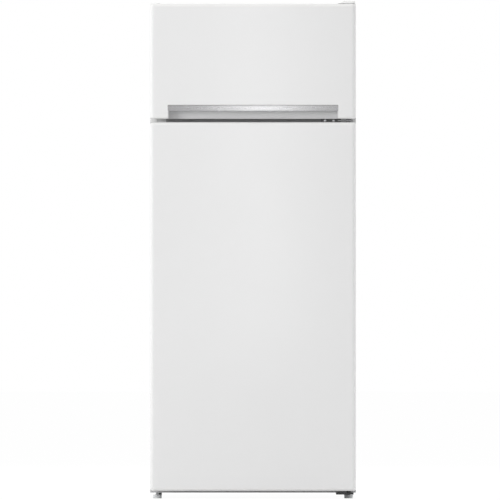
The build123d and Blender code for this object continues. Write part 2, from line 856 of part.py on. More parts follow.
def fridge_bin_levels():
    """Heights of the fridge door's bins above the bottle rack."""
    top = fridge_ceiling - dyke_reach - bin_headroom - bin_height
    return spaced(bottle_rack_level() + bottle_room, top, bin_count)


def freezer_bin_levels():
    """Heights of the freezer door's bins."""
    first = freezer_floor + dyke_reach + dyke_inner_radius + boss_height
    top = freezer_ceiling - dyke_reach - freezer_bin_headroom - freezer_bin_height
    return spaced(first, top, freezer_bin_count)


def door_bin(level, depth, height):
    """An open door bin that sits on its bosses."""
    y1 = door_rear_y + depth
    y0 = door_rear_y + running_gap
    bin_box = block(-bin_half, bin_half, y0, y1, level, level + height)
    rounded = bin_box.edges().filter_by(Axis.Z) + bin_box.faces().sort_by(Axis.Z)[0].edges()
    bin_box = fillet(rounded, bin_radius)
    w = bin_wall
    inside = block(
        -bin_half + w, bin_half - w, y0 + w, y1 - w, level + w, level + height + bin_radius
    )
    hollow = inside.edges().filter_by(Axis.Z) + inside.faces().sort_by(Axis.Z)[0].edges()
    return bin_box - fillet(hollow, bin_radius - w)


# ---------------------------------------------------------------- shelves
def glass_plate(z):
    """One toughened glass shelf across the fridge compartment."""
    half = cavity_half - glass_side_gap
    y1 = cavity_back_y - liner_radius
    return block(-half, half, shelf_front_y + trim_thickness, y1, z, z + glass_thickness)


def shelf_levels():
    """Heights on which glass rests: the crisper cover, then the shelves."""
    return [crisper_cover_z] + ledge_tops()[free_ledge_count::shelf_ledge_count]


def shelf_trim(z):
    """The channel-shaped front edge of a glass shelf."""
    half = cavity_half - ledge_depth - glass_side_gap
    low = z - trim_thickness
    high = z + glass_thickness + trim_thickness
    trim = block(-half, half, shelf_front_y, shelf_front_y + trim_depth, low, high)
    trim = fillet(trim.edges().filter_by(Axis.X).sort_by(Axis.Y)[:2], trim_radius)
    slot = block(
        -half - cut_extra, half + cut_extra, shelf_front_y + trim_thickness,
        shelf_front_y + trim_depth + cut_extra, z, z + glass_thickness,
    )
    return trim - slot


def freezer_shelf():
    """White coated wire shelf: a frame with wires welded on top."""
    half = cavity_half - glass_side_gap
    y0 = shelf_front_y
    y1 = cavity_back_y - liner_radius
    z = freezer_shelf_level + frame_wire_radius
    centre_y = (y0 + y1) / 2
    loop_plane = Pos(0, centre_y, z)
    loop = RectangleRounded(
        2 * (half - frame_wire_radius), y1 - y0 - 2 * frame_wire_radius, frame_corner_radius
    )
    path = (loop_plane * loop).wires()[0]
    start = path @ 0
    section = Plane(origin=start, z_dir=path % 0) * Circle(frame_wire_radius)
    frame = sweep(section, path=path)
    top = z + frame_wire_radius + wire_radius
    count = int(2 * (half - frame_corner_radius) / wire_pitch)
    wires = []
    for i in range(count + 1):
        x = (i - count / 2) * wire_pitch
        start = (x, y0 + wire_radius, top)
        wires.append(rod(start, (0, 1, 0), wire_radius, y1 - y0 - 2 * wire_radius))
    return group(frame, *wires)


# ---------------------------------------------------------------- crisper drawers
def crisper(side):
    """One vegetable drawer, an open box with a grip lip along its front."""
    inner = crisper_gap / 2
    outer = cavity_half - crisper_gap
    x0, x1 = (inner, outer) if side > 0 else (-outer, -inner)
    y0 = shelf_front_y
    y1 = hump_front_y - crisper_gap
    z0 = crisper_bottom
    z1 = crisper_top
    box = block(x0, x1, y0, y1, z0, z1)
    box = fillet(box.edges().filter_by(Axis.Z) + box.faces().sort_by(Axis.Z)[0].edges(), crisper_radius)
    w = crisper_wall
    inside = block(x0 + w, x1 - w, y0 + crisper_front_wall, y1 - w, z0 + w, z1 + crisper_radius)
    hollow = inside.edges().filter_by(Axis.Z) + inside.faces().sort_by(Axis.Z)[0].edges()
    drawer = box - fillet(hollow, crisper_radius - w)
    margin = (x1 - x0) / 4
    lip = block(x0 + margin, x1 - margin, y0 - crisper_lip, y0 + w, z1 - 2 * w, z1)
    lip += block(x0 + margin, x1 - margin, y0 - crisper_lip, y0 - crisper_lip + w, z1 - crisper_lip, z1)
    return drawer + lip


# ---------------------------------------------------------------- controls and lamp
def housing_box(inset):
    """The control housing's outline under the fridge ceiling."""
    half = housing_width / 2 - inset
    y0 = housing_front_y + inset
    y1 = housing_front_y + housing_depth - inset
    box = block(-half, half, y0, y1, fridge_ceiling - housing_height + inset, fridge_ceiling)
    rounded = box.edges().filter_by(Axis.Z) + box.faces().sort_by(Axis.Z)[0].edges()
    return fillet(rounded, housing_radius - inset)


def lamp_window(grow, z0, z1):
    """The lamp window's outline in the housing floor."""
    x = window_offset
    y = housing_front_y + housing_depth / 2
    half_x = window_width / 2 + grow
    half_y = window_depth / 2 + grow
    window = block(x - half_x, x + half_x, y - half_y, y + half_y, z0, z1)
    return fillet(window.edges().filter_by(Axis.Z), housing_radius)


def control_housing():
    """Moulded box under the fridge ceiling that holds the thermostat, the lamp and the door switch."""
    bottom = fridge_ceiling - housing_height
    housing = housing_box(0) - housing_box(housing_wall)
    housing -= lamp_window(0, bottom - cut_extra, bottom + housing_wall + cut_extra)
    y0 = housing_front_y - cut_extra
    through = housing_wall + 2 * cut_extra
    for x, radius in ((-knob_offset, knob_shaft_radius), (button_offset, button_radius)):
        housing -= rod((x, y0, knob_z), (0, 1, 0), radius + running_gap, through)
    return housing


def lamp_cover():
    """Translucent lens that fills the housing's window."""
    bottom = fridge_ceiling - housing_height
    inner = bottom + housing_wall
    flange = lamp_window(window_flange, inner, inner + window_flange_thickness)
    return lamp_window(-lens_gap, bottom, inner) + flange


def lamp():
    """Small screw-base bulb lying in its holder."""
    x = window_offset
    y = housing_front_y + housing_depth / 2
    z = fridge_ceiling - lamp_drop
    half = lamp_stand_width / 2
    bulb = Pos(x + lamp_radius, y, z) * Sphere(lamp_radius)
    socket = rod((x - lamp_socket_length, y, z), (1, 0, 0), lamp_socket_radius, lamp_socket_length + half)
    stand_x = x - lamp_socket_length / 2
    return bulb + socket + block(stand_x - half, stand_x + half, y - half, y + half, z, fridge_ceiling)


def thermostat():
    """Thermostat body behind the knob."""
    half = thermostat_size / 2
    y0 = housing_front_y + housing_wall
    z0 = fridge_ceiling - housing_height + housing_radius
    body = block(-knob_offset - half, -knob_offset + half, y0, y0 + thermostat_size, z0, fridge_ceiling)
    socket = (-knob_offset, y0 - cut_extra, knob_z)
    depth = socket_depth + cut_extra + running_gap
    return body - rod(socket, (0, 1, 0), knob_shaft_radius + pin_clearance, depth)


def control_knob():
    """Thermostat knob with a finger ridge and a shaft into the thermostat."""
    y0 = housing_front_y - running_gap
    disc = rod((-knob_offset, y0, knob_z), (0, -1, 0), knob_radius, knob_height / 2)
    disc = chamfer(disc.faces().sort_by(Axis.Y)[0].edges(), knob_edge)
    half = knob_radius - knob_edge
    ridge = block(
        -knob_offset - ridge_width / 2, -knob_offset + ridge_width / 2, y0 - knob_height, y0,
        knob_z - half, knob_z + half,
    )
    ridge = fillet(ridge.edges().filter_by(Axis.Z).sort_by(Axis.Y)[:2], ridge_width / 3)
    length = running_gap + housing_wall + socket_depth
    return disc + ridge + rod((-knob_offset, y0, knob_z), (0, 1, 0), knob_shaft_radius, length)


def light_switch_button():
    """Plunger that the fridge door holds in; it comes out as the door opens."""
    tip_y = dyke_rear_y + running_gap
    inner_y = housing_front_y + housing_wall + button_travel + running_gap
    point = (button_offset, tip_y, knob_z)
    stem = rod(point, (0, 1, 0), button_radius, inner_y - tip_y)
    stem = fillet(stem.faces().sort_by(Axis.Y)[0].edges(), button_tip_radius)
    head = rod((button_offset, inner_y, knob_z), (0, 1, 0), button_radius + button_head, button_head)
    return stem + head


# ---------------------------------------------------------------- machine bay
def base_plate():
    """Steel tray that carries the compressor, with ears for the rear rollers."""
    t = base_plate_thickness
    half = half_width - sheet_thickness
    y0 = bay_front_y
    y1 = back_y
    plate = block(-half, half, y0, y1, base_plate_z - t, base_plate_z)
    for side in (-1, 1):
        x0, x1 = sorted((side * half, side * (half - t)))
        plate += block(x0, x1, y0, y1, base_plate_z - t, base_plate_z + base_flange)
    for side in (-1, 1):
        for offset in (-1, 1):
            inner = roller_width / 2 + roller_side_gap
            x = side * (half_width - roller_inset_side) + offset * (inner + t / 2)
            y = back_y - roller_inset_back
            ear = block(
                x - t / 2, x + t / 2, y - ear_half_length, y + ear_half_length,
                roller_radius - ear_drop, base_plate_z - t,
            )
            ear -= rod((x - t, y, roller_radius), (1, 0, 0), axle_radius, 2 * t)
            plate += ear
    for x, y in grommet_points():
        plate -= rod((x, y, base_plate_z - 2 * t), (0, 0, 1), bolt_radius, 3 * t)
    return plate


def roller_axles():
    """Steel axle of each rear roller, riveted into its ears."""
    half = roller_width / 2 + roller_side_gap + base_plate_thickness + axle_overhang
    y = back_y - roller_inset_back
    axles = []
    for side in (-1, 1):
        x = side * (half_width - roller_inset_side)
        axles.append(rod((x - half, y, roller_radius), (1, 0, 0), axle_radius, 2 * half))
    return group(*axles)


def roller(side):
    """One rear transport roller."""
    x = side * (half_width - roller_inset_side)
    y = back_y - roller_inset_back
    start = (x - roller_width / 2, y, roller_radius)
    wheel = rod(start, (1, 0, 0), roller_radius, roller_width)
    wheel = fillet(wheel.edges(), roller_edge_radius)
    outside = (start[0] - cut_extra, y, roller_radius)
    return wheel - rod(outside, (1, 0, 0), axle_radius + pin_clearance, roller_width + 2 * cut_extra)


def levelling_foot(side):
    """Screw foot: a round pad, a neck and a stud in the base rail."""
    x = side * foot_x
    pad = rod((x, foot_y, 0), (0, 0, 1), foot_radius, foot_pad_height)
    pad = fillet(pad.faces().sort_by(Axis.Z)[-1].edges(), foot_pad_edge)
    top = (x, foot_y, foot_pad_height)
    pad += rod(top, (0, 0, 1), foot_neck_radius, foot_neck_height)
    return pad + rod(top, (0, 0, 1), foot_stud_radius, foot_stud_top - foot_pad_height)


def grommet_points():
    """Where the compressor's four rubber mounts stand."""
    dx = foot_plate_length / 2 - grommet_inset
    dy = foot_plate_depth / 2 - grommet_inset
    return [(compressor_x + i * dx, compressor_y + j * dy) for i in (-1, 1) for j in (-1, 1)]


def compressor_can(inset):
    """The compressor's domed can, made smaller by an inset."""
    centre = (compressor_x, compressor_y, compressor_bottom_z + inset)
    outline = Ellipse(compressor_length / 2 - inset, compressor_depth / 2 - inset)
    can = extrude(Plane(origin=centre) * outline, amount=compressor_height - 2 * inset)
    return fillet(can.faces().filter_by(Axis.Z).edges(), compressor_dome - inset)


def compressor_girth(z0, z1):
    """The compressor's outline at its seam, between two heights."""
    outline = Ellipse(compressor_length / 2 + seam_overhang, compressor_depth / 2 + seam_overhang)
    return extrude(Plane(origin=(compressor_x, compressor_y, z0)) * outline, amount=z1 - z0)


def compressor():
    """Hermetic compressor: a domed steel can with a weld seam on a foot plate."""
    seam_z = compressor_bottom_z + compressor_height / 2
    half_x = foot_plate_length / 2
    half_y = foot_plate_depth / 2
    plate = block(
        compressor_x - half_x, compressor_x + half_x, compressor_y - half_y, compressor_y + half_y,
        compressor_base_z, compressor_bottom_z,
    )
    plate = fillet(plate.edges().filter_by(Axis.Z), foot_plate_radius)
    for x, y in grommet_points():
        under = (x, y, compressor_base_z - cut_extra)
        plate -= rod(under, (0, 0, 1), bolt_radius, foot_plate_thickness + 2 * cut_extra)
    whole = compressor_can(0) + compressor_girth(seam_z, seam_z + seam_height) + plate
    return whole - compressor_can(compressor_wall)


def compressor_motor():
    """Motor and pump block inside the can, on its three springs."""
    floor_z = compressor_bottom_z + compressor_wall
    low = floor_z + motor_standoff
    motor = rod((compressor_x, compressor_y, low), (0, 0, 1), motor_radius, motor_height)
    for place in PolarLocations(motor_spring_circle, 3):
        foot = Vector(compressor_x, compressor_y, floor_z) + place.position
        motor += rod(foot, (0, 0, 1), motor_spring_radius, motor_standoff)
    return motor


def compressor_grommets():
    """Four rubber mounts between the base plate and the compressor."""
    mounts = []
    for x, y in grommet_points():
        mount = rod((x, y, base_plate_z), (0, 0, 1), grommet_radius, grommet_height)
        under = (x, y, base_plate_z - cut_extra)
        mounts.append(mount - rod(under, (0, 0, 1), bolt_radius, grommet_height + 2 * cut_extra))
    return group(*mounts)


def compressor_bolts():
    """Four bolts through the foot plate, the mounts and the base plate."""
    bolts = []
    length = compressor_bottom_z - base_plate_z + base_plate_thickness + bolt_radius
    for x, y in grommet_points():
        top = (x, y, compressor_bottom_z)
        head = extrude(Plane(origin=top) * RegularPolygon(bolt_head_radius, 6), amount=bolt_head_height)
        bolts.append(head + rod(top, (0, 0, -1), bolt_radius, length))
    return bolts


def starter_cover():
    """Snap-on plastic cover of the compressor's relay and terminals, with a notch for the cord."""
    z0 = compressor_bottom_z + compressor_height / 4
    z1 = z0 + starter_height
    far = compressor_x + compressor_length / 2 + starter_length
    half = starter_width / 2
    cover = block(compressor_x, far, compressor_y - half, compressor_y + half, z0, z1)
    cover = fillet(cover.edges(), starter_radius)
    cover -= compressor_girth(z0 - cut_extra, z1 + cut_extra)
    x = far - starter_length / 2
    half_slot = cord_slot_size / 2
    return cover - block(
        x - half_slot, x + half_slot, compressor_y - half_slot, compressor_y + half_slot,
        z0 - cut_extra, z0 + starter_height / 4,
    )


def drip_tray():
    """Evaporation tray that sits on the warm compressor."""
    half_x = tray_length / 2
    half_y = tray_depth / 2
    z0 = compressor_top_z
    z1 = z0 + tray_height
    w = tray_wall
    x, y = compressor_x, compressor_y
    tray = block(x - half_x, x + half_x, y - half_y, y + half_y, z0, z1)
    tray = fillet(tray.edges().filter_by(Axis.Z) + tray.faces().sort_by(Axis.Z)[0].edges(), tray_radius)
    inside = block(
        x - half_x + w, x + half_x - w, y - half_y + w, y + half_y - w, z0 + w, z1 + tray_radius
    )
    hollow = inside.edges().filter_by(Axis.Z) + inside.faces().sort_by(Axis.Z)[0].edges()
    return tray - fillet(hollow, tray_radius - w)


def drain_hose():
    """Defrost drain from the fridge compartment down into the evaporation tray."""
    x, y = drain_point()
    z0 = compressor_top_z + tray_height / 2
    length = hump_top - z0
    hose = rod((x, y, z0), (0, 0, 1), drain_radius, length)
    return hose - rod((x, y, z0 - cut_extra), (0, 0, 1), drain_bore, length + 2 * cut_extra)


# ---------------------------------------------------------------- cooling circuit
def freezer_evaporator():
    """Aluminium sleeve wrapped round the freezer liner, inside the foam."""
    def sleeve(grow):
        half = cavity_half + grow
        low = freezer_floor - grow
        high = freezer_ceiling + grow
        plane = Plane(
            origin=(0, cabinet_front_y + evaporator_setback, (low + high) / 2),
            x_dir=(1, 0, 0), z_dir=(0, -1, 0),
        )
        face = RectangleRounded(2 * half, high - low, liner_radius + grow)
        length = cavity_back_y - liner_radius - cabinet_front_y - evaporator_setback
        return extrude(plane * face, amount=-length)

    return sleeve(liner_thickness + evaporator_thickness) - sleeve(liner_thickness)


def fridge_evaporator():
    """Aluminium cold plate behind the fridge liner's back, inside the foam."""
    half = fridge_evaporator_width / 2
    y0 = cavity_back_y + liner_thickness
    z1 = fridge_ceiling - fridge_evaporator_drop
    return block(-half, half, y0, y0 + evaporator_thickness, z1 - fridge_evaporator_height, z1)


def condenser_rows():
    """Heights of the condenser's straight runs, from the bottom."""
    room = cabinet_top - condenser_top_margin - condenser_bottom
    count = 2 * int(room / tube_pitch / 2)
    return [condenser_bottom + i * tube_pitch for i in range(count + 1)]


def condenser():
    """Black wire-on-tube condenser: one serpentine tube with wires on both sides."""
    rows = condenser_rows()
    reach = condenser_half
    path = None
    for i, z in enumerate(rows):
        x0, x1 = (-reach, reach) if i % 2 == 0 else (reach, -reach)
        run = Line((x0, tube_y, z), (x1, tube_y, z))
        path = run if path is None else path + run
        if i + 1 < len(rows):
            bulge = x1 + (tube_pitch / 2 if x1 > 0 else -tube_pitch / 2)
            path += ThreePointArc(
                (x1, tube_y, z), (bulge, tube_y, z + tube_pitch / 2), (x1, tube_y, rows[i + 1])
            )
    section = Plane(origin=(-reach, tube_y, rows[0]), z_dir=(1, 0, 0)) * Circle(tube_radius)
    tube = sweep(section, path=path)
    low = rows[0] - tube_pitch / 4
    high = rows[-1] + tube_pitch / 4
    offset = tube_radius + condenser_wire_radius
    wires = []
    for i in range(condenser_wires_per_side):
        for face in (-1, 1):
            start = (i * wire_spacing - reach, tube_y + face * offset, low)
            wires.append(rod(start, (0, 0, 1), condenser_wire_radius, high - low))
    return group(tube, *wires)


def condenser_clips():
    """Plastic spacers that hold the condenser to the back and keep it off the wall."""
    rows = condenser_rows()
    half = wire_spacing / 2 - condenser_wire_radius - clip_gap
    clips = []
    for z in (rows[1], rows[-2]):
        for side in (-1, 1):
            x = side * (condenser_half - (clip_slot - 0.5) * wire_spacing)
            clip = block(x - half, x + half, back_y, rear_y, z - clip_height / 2, z + clip_height / 2)
            start = (x - wire_spacing / 2, tube_y, z)
            clips.append(clip - rod(start, (1, 0, 0), tube_radius, wire_spacing))
    return group(*clips)


def bent_pipe(points, radii, radius):
    """A round pipe along straight runs joined by arcs."""
    path = FilletPolyline(*points, radius=radii)
    wire = path.wires()[0]
    start = Vector(*points[0])
    direction = Vector(*points[1]) - start
    return sweep(Plane(origin=start, z_dir=direction) * Circle(radius), path=wire)


def refrigerant_pipes():
    """Copper pipes of the machine bay: hot gas up to the condenser, suction line into the cabinet."""
    top = condenser_rows()[-1]
    stub_z = compressor_bottom_z + compressor_height / 3
    behind_y = compressor_y + compressor_depth / 2 + pipe_standoff
    riser_x = half_width - riser_inset
    hot_x = compressor_x + pipe_spacing / 2
    hot_gas = bent_pipe(
        [
            (hot_x, compressor_y, stub_z), (hot_x, tube_y, stub_z), (riser_x, tube_y, stub_z),
            (riser_x, tube_y, top), (condenser_half, tube_y, top),
        ],
        pipe_bend, tube_radius,
    )
    suction_x = compressor_x - pipe_spacing / 2
    left_x = suction_inset - half_width
    suction = bent_pipe(
        [
            (suction_x, compressor_y, stub_z), (suction_x, behind_y, stub_z),
            (left_x, behind_y, stub_z), (left_x, behind_y, bay_top - sheet_thickness),
        ],
        pipe_bend, pipe_radius,
    )
    can = compressor_can(0)
    return group(hot_gas - can, suction - can)


def filter_drier():
    """Copper drier cartridge under the condenser's lowest run."""
    low_row = condenser_rows()[0]
    x = -condenser_half - drier_offset
    top = low_row - drier_drop
    body = rod((x, tube_y, top - drier_length), (0, 0, 1), drier_radius, drier_length)
    body = fillet(body.edges(), drier_edge_radius)
    inlet = bent_pipe(
        [(-condenser_half, tube_y, low_row), (x, tube_y, low_row), (x, tube_y, top - pipe_radius)],
        drier_radius, tube_radius,
    )
    return body + inlet


# ---------------------------------------------------------------- all the nodes
def all_nodes():
    """Every node of the refrigerator by name."""
    fridge = (fridge_door_bottom, fridge_door_top)
    fridge_inside = (fridge_floor, fridge_ceiling)
    freezer = (freezer_door_bottom, freezer_door_top)
    freezer_inside = (freezer_floor, freezer_ceiling)
    notch = handle_notch()
    return {
        "cabinet_wrapper": cabinet_wrapper(),
        "back_panel": back_panel(),
        "bottom_deck": bottom_deck(),
        "base_plate": base_plate(),
        "front_base_rail": front_base_rail(),
        "cabinet_foam": cabinet_foam(),
        "fridge_liner": fridge_liner(),
        "freezer_liner": freezer_liner(),
        "divider_strip": divider_strip(),
        "hole_plugs": hole_plugs(),
        "top_hinge": top_hinge(),
        "top_hinge_cover": top_hinge_cover(),
        "middle_hinge": middle_hinge(),
        "bottom_hinge": bottom_hinge(),
        "fasteners": fasteners(),
        "compressor": compressor(),
        "compressor_grommets": compressor_grommets(),
        "compressor_motor": compressor_motor(),
        "starter_cover": starter_cover(),
        "drip_tray": drip_tray(),
        "drain_hose": drain_hose(),
        "condenser": condenser(),
        "condenser_clips": condenser_clips(),
        "filter_drier": filter_drier(),
        "refrigerant_pipes": refrigerant_pipes(),
        "freezer_evaporator": freezer_evaporator(),
        "fridge_evaporator": fridge_evaporator(),
        "roller_axles": roller_axles(),
        "left_roller": roller(-1),
        "right_roller": roller(1),
        "left_foot": levelling_foot(-1),
        "right_foot": levelling_foot(1),
        "control_housing": control_housing(),
        "lamp_cover": lamp_cover(),
        "lamp": lamp(),
        "thermostat": thermostat(),
        "control_knob": control_knob(),
        "light_switch_button": light_switch_button(),
        "glass_shelves": group(*[glass_plate(z) for z in shelf_levels()]),
        "shelf_trims": group(*[shelf_trim(z) for z in shelf_levels()]),
        "freezer_shelf": freezer_shelf(),
        "left_crisper": crisper(-1),
        "right_crisper": crisper(1),
        "freezer_door_skin": door_skin(*freezer) - notch,
        "freezer_door_foam": door_foam(*freezer, *freezer_inside) - notch,
        "freezer_door_liner": door_liner(*freezer, *freezer_inside, freezer_bin_levels()),
        "freezer_door_top_cap": end_cap(freezer_door_top, -1),
        "freezer_door_bottom_cap": end_cap(freezer_door_bottom, 1) - notch,
        "freezer_handle_bar": freezer_handle_bar(),
        "freezer_handle_recess": freezer_handle_recess(),
        "freezer_door_gasket": door_gasket(*freezer_inside),
        "freezer_door_bins": group(
            *[door_bin(z, freezer_bin_depth, freezer_bin_height) for z in freezer_bin_levels()]
        ),
        "fridge_door_skin": door_skin(*fridge),
        "fridge_door_foam": door_foam(*fridge, *fridge_inside),
        "fridge_door_liner": door_liner(
            *fridge, *fridge_inside, [bottle_rack_level(), *fridge_bin_levels()]
        ),
        "fridge_door_top_cap": end_cap(fridge_door_top, -1) - grip_channel(),
        "fridge_door_bottom_cap": end_cap(fridge_door_bottom, 1),
        "fridge_door_gasket": door_gasket(*fridge_inside),
        "fridge_door_bins": group(*[door_bin(z, bin_depth, bin_height) for z in fridge_bin_levels()]),
        "bottle_rack": door_bin(bottle_rack_level(), bottle_rack_depth, bottle_rack_height),
    }


def main():
    os.makedirs("parts", exist_ok=True)
    for name, shape in all_nodes().items():
        export_step(shape, f"parts/{name}.step")


main()
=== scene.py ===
import math

import bmesh
import bpy
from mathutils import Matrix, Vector


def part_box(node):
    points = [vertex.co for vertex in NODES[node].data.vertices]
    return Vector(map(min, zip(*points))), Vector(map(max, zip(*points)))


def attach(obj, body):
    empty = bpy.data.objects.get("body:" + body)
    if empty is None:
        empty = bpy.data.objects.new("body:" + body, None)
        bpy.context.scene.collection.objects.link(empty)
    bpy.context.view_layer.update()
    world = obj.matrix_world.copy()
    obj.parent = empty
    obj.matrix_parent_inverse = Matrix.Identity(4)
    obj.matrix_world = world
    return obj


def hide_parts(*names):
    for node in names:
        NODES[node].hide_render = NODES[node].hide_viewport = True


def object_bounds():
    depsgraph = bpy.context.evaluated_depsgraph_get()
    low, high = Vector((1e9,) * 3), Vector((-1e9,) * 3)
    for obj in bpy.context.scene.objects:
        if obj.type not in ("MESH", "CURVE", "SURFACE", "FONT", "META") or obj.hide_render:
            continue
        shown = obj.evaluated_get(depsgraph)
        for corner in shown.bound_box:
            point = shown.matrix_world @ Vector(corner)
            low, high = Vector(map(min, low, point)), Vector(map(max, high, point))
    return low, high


bl_info = {
    "name": "Top Freezer Refrigerator",
    "version": (1, 0, 0),
    "blender": (4, 5, 0),
    "location": "3D View > Sidebar > Fridge",
    "description": "Finishes and small parts of a top freezer refrigerator, over its fixed frame",
    "category": "Object",
}

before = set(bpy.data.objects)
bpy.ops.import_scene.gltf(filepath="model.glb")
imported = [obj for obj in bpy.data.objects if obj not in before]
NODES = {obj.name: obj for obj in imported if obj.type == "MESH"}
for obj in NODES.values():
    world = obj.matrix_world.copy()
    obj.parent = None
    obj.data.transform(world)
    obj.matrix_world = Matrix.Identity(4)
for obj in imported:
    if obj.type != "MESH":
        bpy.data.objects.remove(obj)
CAD_BOX = [list(corner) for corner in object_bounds()]


# ---------------------------------------------------------------- settings
def colour(name, description, default):
    return bpy.props.FloatVectorProperty(
        name=name, description=description, default=default, size=3, min=0, max=1, subtype="COLOR"
    )


def length(name, description, default):
    return bpy.props.FloatProperty(
        name=name, description=description, default=default, min=0, unit="LENGTH", precision=5
    )


def number(name, description, default):
    return bpy.props.FloatProperty(name=name, description=description, default=default, min=0)


class FridgeColours(bpy.types.PropertyGroup):
    """Base colours of the finishes, as linear values."""

    door: colour("Door Paint", "White paint of both doors", (0.80, 0.80, 0.80))
    cabinet: colour("Cabinet Paint", "White paint of the wrapper", (0.79, 0.79, 0.79))
    trim: colour("White Plastic", "Door caps, shelf trims, control housing", (0.82, 0.82, 0.815))
    cover: colour("Cover Plastic", "Hinge cover and hole plugs", (0.90, 0.90, 0.895))
    liner: colour("Liner", "Moulded inner walls", (0.84, 0.85, 0.85))
    bins: colour("Door Bins", "Clear bins and bottle rack", (0.965, 0.98, 0.985))
    drawers: colour("Crispers", "Clear vegetable drawers", (0.955, 0.975, 0.985))
    grip: colour("Grip Bar", "Brushed aluminium of the handle", (0.343, 0.343, 0.347))
    recess: colour("Grip Recess", "Grey plastic behind the bar", (0.68, 0.68, 0.685))
    seal: colour("Door Seals", "Soft vinyl of the seals", (0.60, 0.60, 0.59))
    foam: colour("Foam", "Polyurethane insulation", (0.80, 0.70, 0.42))
    zinc: colour("Zinc Sheet", "Back panel, deck and base plate", (0.50, 0.52, 0.54))
    black: colour("Black Paint", "Compressor, condenser, bottom hinge", (0.018, 0.018, 0.019))
    copper: colour("Copper", "Refrigerant pipes and drier", (0.80, 0.40, 0.24))
    steel: colour("Plated Steel", "Top hinge, screws, bolts, axles", (0.52, 0.52, 0.53))
    # painted shade: the middle hinge is dark grey so that it looks shaded in the gap between the doors
    bracket: colour("Hinge Painted Shade", "Grey paint of the middle hinge", (0.28, 0.28, 0.285))
    # painted shade: the strip is grey, not cabinet white, so that the gap between the doors looks shaded
    divider: colour("Divider Painted Shade", "Grey strip between the compartments", (0.42, 0.42, 0.43))
    # painted shade: the rail is grey so that the line under the fridge door looks shaded
    rail: colour("Rail Painted Shade", "Grey rail under the fridge door", (0.58, 0.58, 0.59))
    foot: colour("Feet", "Levelling feet and drain hose", (0.76, 0.77, 0.78))
    glass: colour("Shelf Glass", "Toughened glass plates", (0.90, 0.97, 0.94))
    marks: colour("Dial Marks", "Printed numbers and index", (0.06, 0.07, 0.09))


class FridgeSizes(bpy.types.PropertyGroup):
    """Sizes of the small parts that are modelled here."""

    seal_width: length("Seal Width", "Width of the seal's foot", 0.014)
    seal_neck: length("Seal Neck", "How far each fold pulls in", 0.0036)
    seal_softness: length("Seal Softness", "Rounding of the folds", 0.0004)
    head_radius: length("Screw Head Radius", "Pan head radius", 0.0045)
    head_height: length("Screw Head Height", "Pan head height", 0.0024)
    shaft_radius: length("Screw Shaft Radius", "Radius below the head", 0.0025)
    recess_width: length("Recess Width", "Arm of the cross recess", 0.0011)
    recess_span: length("Recess Span", "Cross recess from tip to tip", 0.0050)
    recess_depth: length("Recess Depth", "Depth of the cross recess", 0.0013)
    bolt_radius: length("Bolt Head Radius", "Corner radius of the hexagon", 0.0055)
    bolt_height: length("Bolt Head Height", "Height of the hexagon", 0.0040)
    bolt_shaft: length("Bolt Shaft Radius", "Radius below the hexagon", 0.0030)
    digit_height: length("Digit Height", "Height of the dial numbers", 0.0034)
    digit_circle: length("Digit Circle", "Radius on which the numbers stand", 0.0112)
    print_height: length("Print Height", "How far the print stands proud", 0.00012)
    index_radius: length("Index Radius", "Corner radius of the index triangle", 0.0022)
    foot_ribs: bpy.props.IntProperty(
        name="Foot Ribs", description="Ribs around a foot's pad", default=24, min=6
    )
    rib_height: length("Rib Height", "How far a rib stands proud", 0.0005)
    pad_height: length("Pad Height", "Floor to the top of a foot's pad", 0.010)
    neck_height: length("Neck Height", "Floor to the top of a foot's neck", 0.013)
    stud_radius: length("Stud Radius", "Radius of a foot's stud", 0.004)
    stud_bevel: length("Stud Bevel", "Chamfer of the stud's end", 0.0006)
    foot_bevel: length("Foot Bevel", "Rounding of a foot's edges", 0.0003)


class FridgeStudio(bpy.types.PropertyGroup):
    """Camera, lights and floor."""

    view_height: length("View Height", "Height of the lens above the floor", 0.7247)
    view_side: bpy.props.FloatProperty(
        name="View Side", description="Lens beside the object's middle",
        default=-0.0087, unit="LENGTH", precision=4,
    )
    view_distance: length("View Distance", "Lens to the door fronts", 40.0)
    view_width: length("View Width", "Breadth that the lens takes in at the door fronts", 1.4563)
    key: number("Key Light", "Power of the soft light high on the left, in watts", 118.0)
    fill: number("Fill Light", "Power of the soft light on the right, in watts", 4.0)
    top: number("Top Light", "Power of the soft light above the doors, in watts", 28.0)
    left_side: number("Left Light", "Power of the soft light beside the left wall, in watts", 5.0)
    right_side: number("Right Light", "Power of the soft light beside the right wall, in watts", 36.0)
    back: number("Back Light", "Power of the soft light behind, in watts", 60.0)
    strip: number("Strip Light", "Power of the strip that the grip bar mirrors, in watts", 2.5)
    world: number("Ambient", "Strength of the even light from all around", 0.57)
    glow: number("Floor Glow", "Strength of the light that the camera sees from the floor", 1.05)
    glow_share: number("Glow Share", "Part of the floor's look that glows; the rest takes shadows", 0.9)


# ---------------------------------------------------------------- shader node groups
VECTOR, FLOAT = "NodeSocketVector", "NodeSocketFloat"


def new_group(name, inputs, *outputs):
    """An empty group that reads object coordinates and numbers; returns its tree and both its ends."""
    tree = bpy.data.node_groups.new(name, "ShaderNodeTree")
    tree.interface.new_socket(name="Vector", in_out="INPUT", socket_type=VECTOR)
    for label, default in inputs.items():
        socket = tree.interface.new_socket(name=label, in_out="INPUT", socket_type=FLOAT)
        socket.default_value = default
    for label in outputs:
        tree.interface.new_socket(name=label, in_out="OUTPUT", socket_type=FLOAT)
    return tree, tree.nodes.new("NodeGroupInput").outputs, tree.nodes.new("NodeGroupOutput").inputs


def put(tree, kind, links=(), **settings):
    """A node with its settings; links pair its inputs with output sockets or plain values."""
    node = tree.nodes.new(kind)
    for key, value in settings.items():
        setattr(node, key, value)
    for socket, source in dict(links).items():
        if isinstance(source, bpy.types.NodeSocket):
            tree.links.new(source, node.inputs[socket])
        else:
            node.inputs[socket].default_value = source
    return node


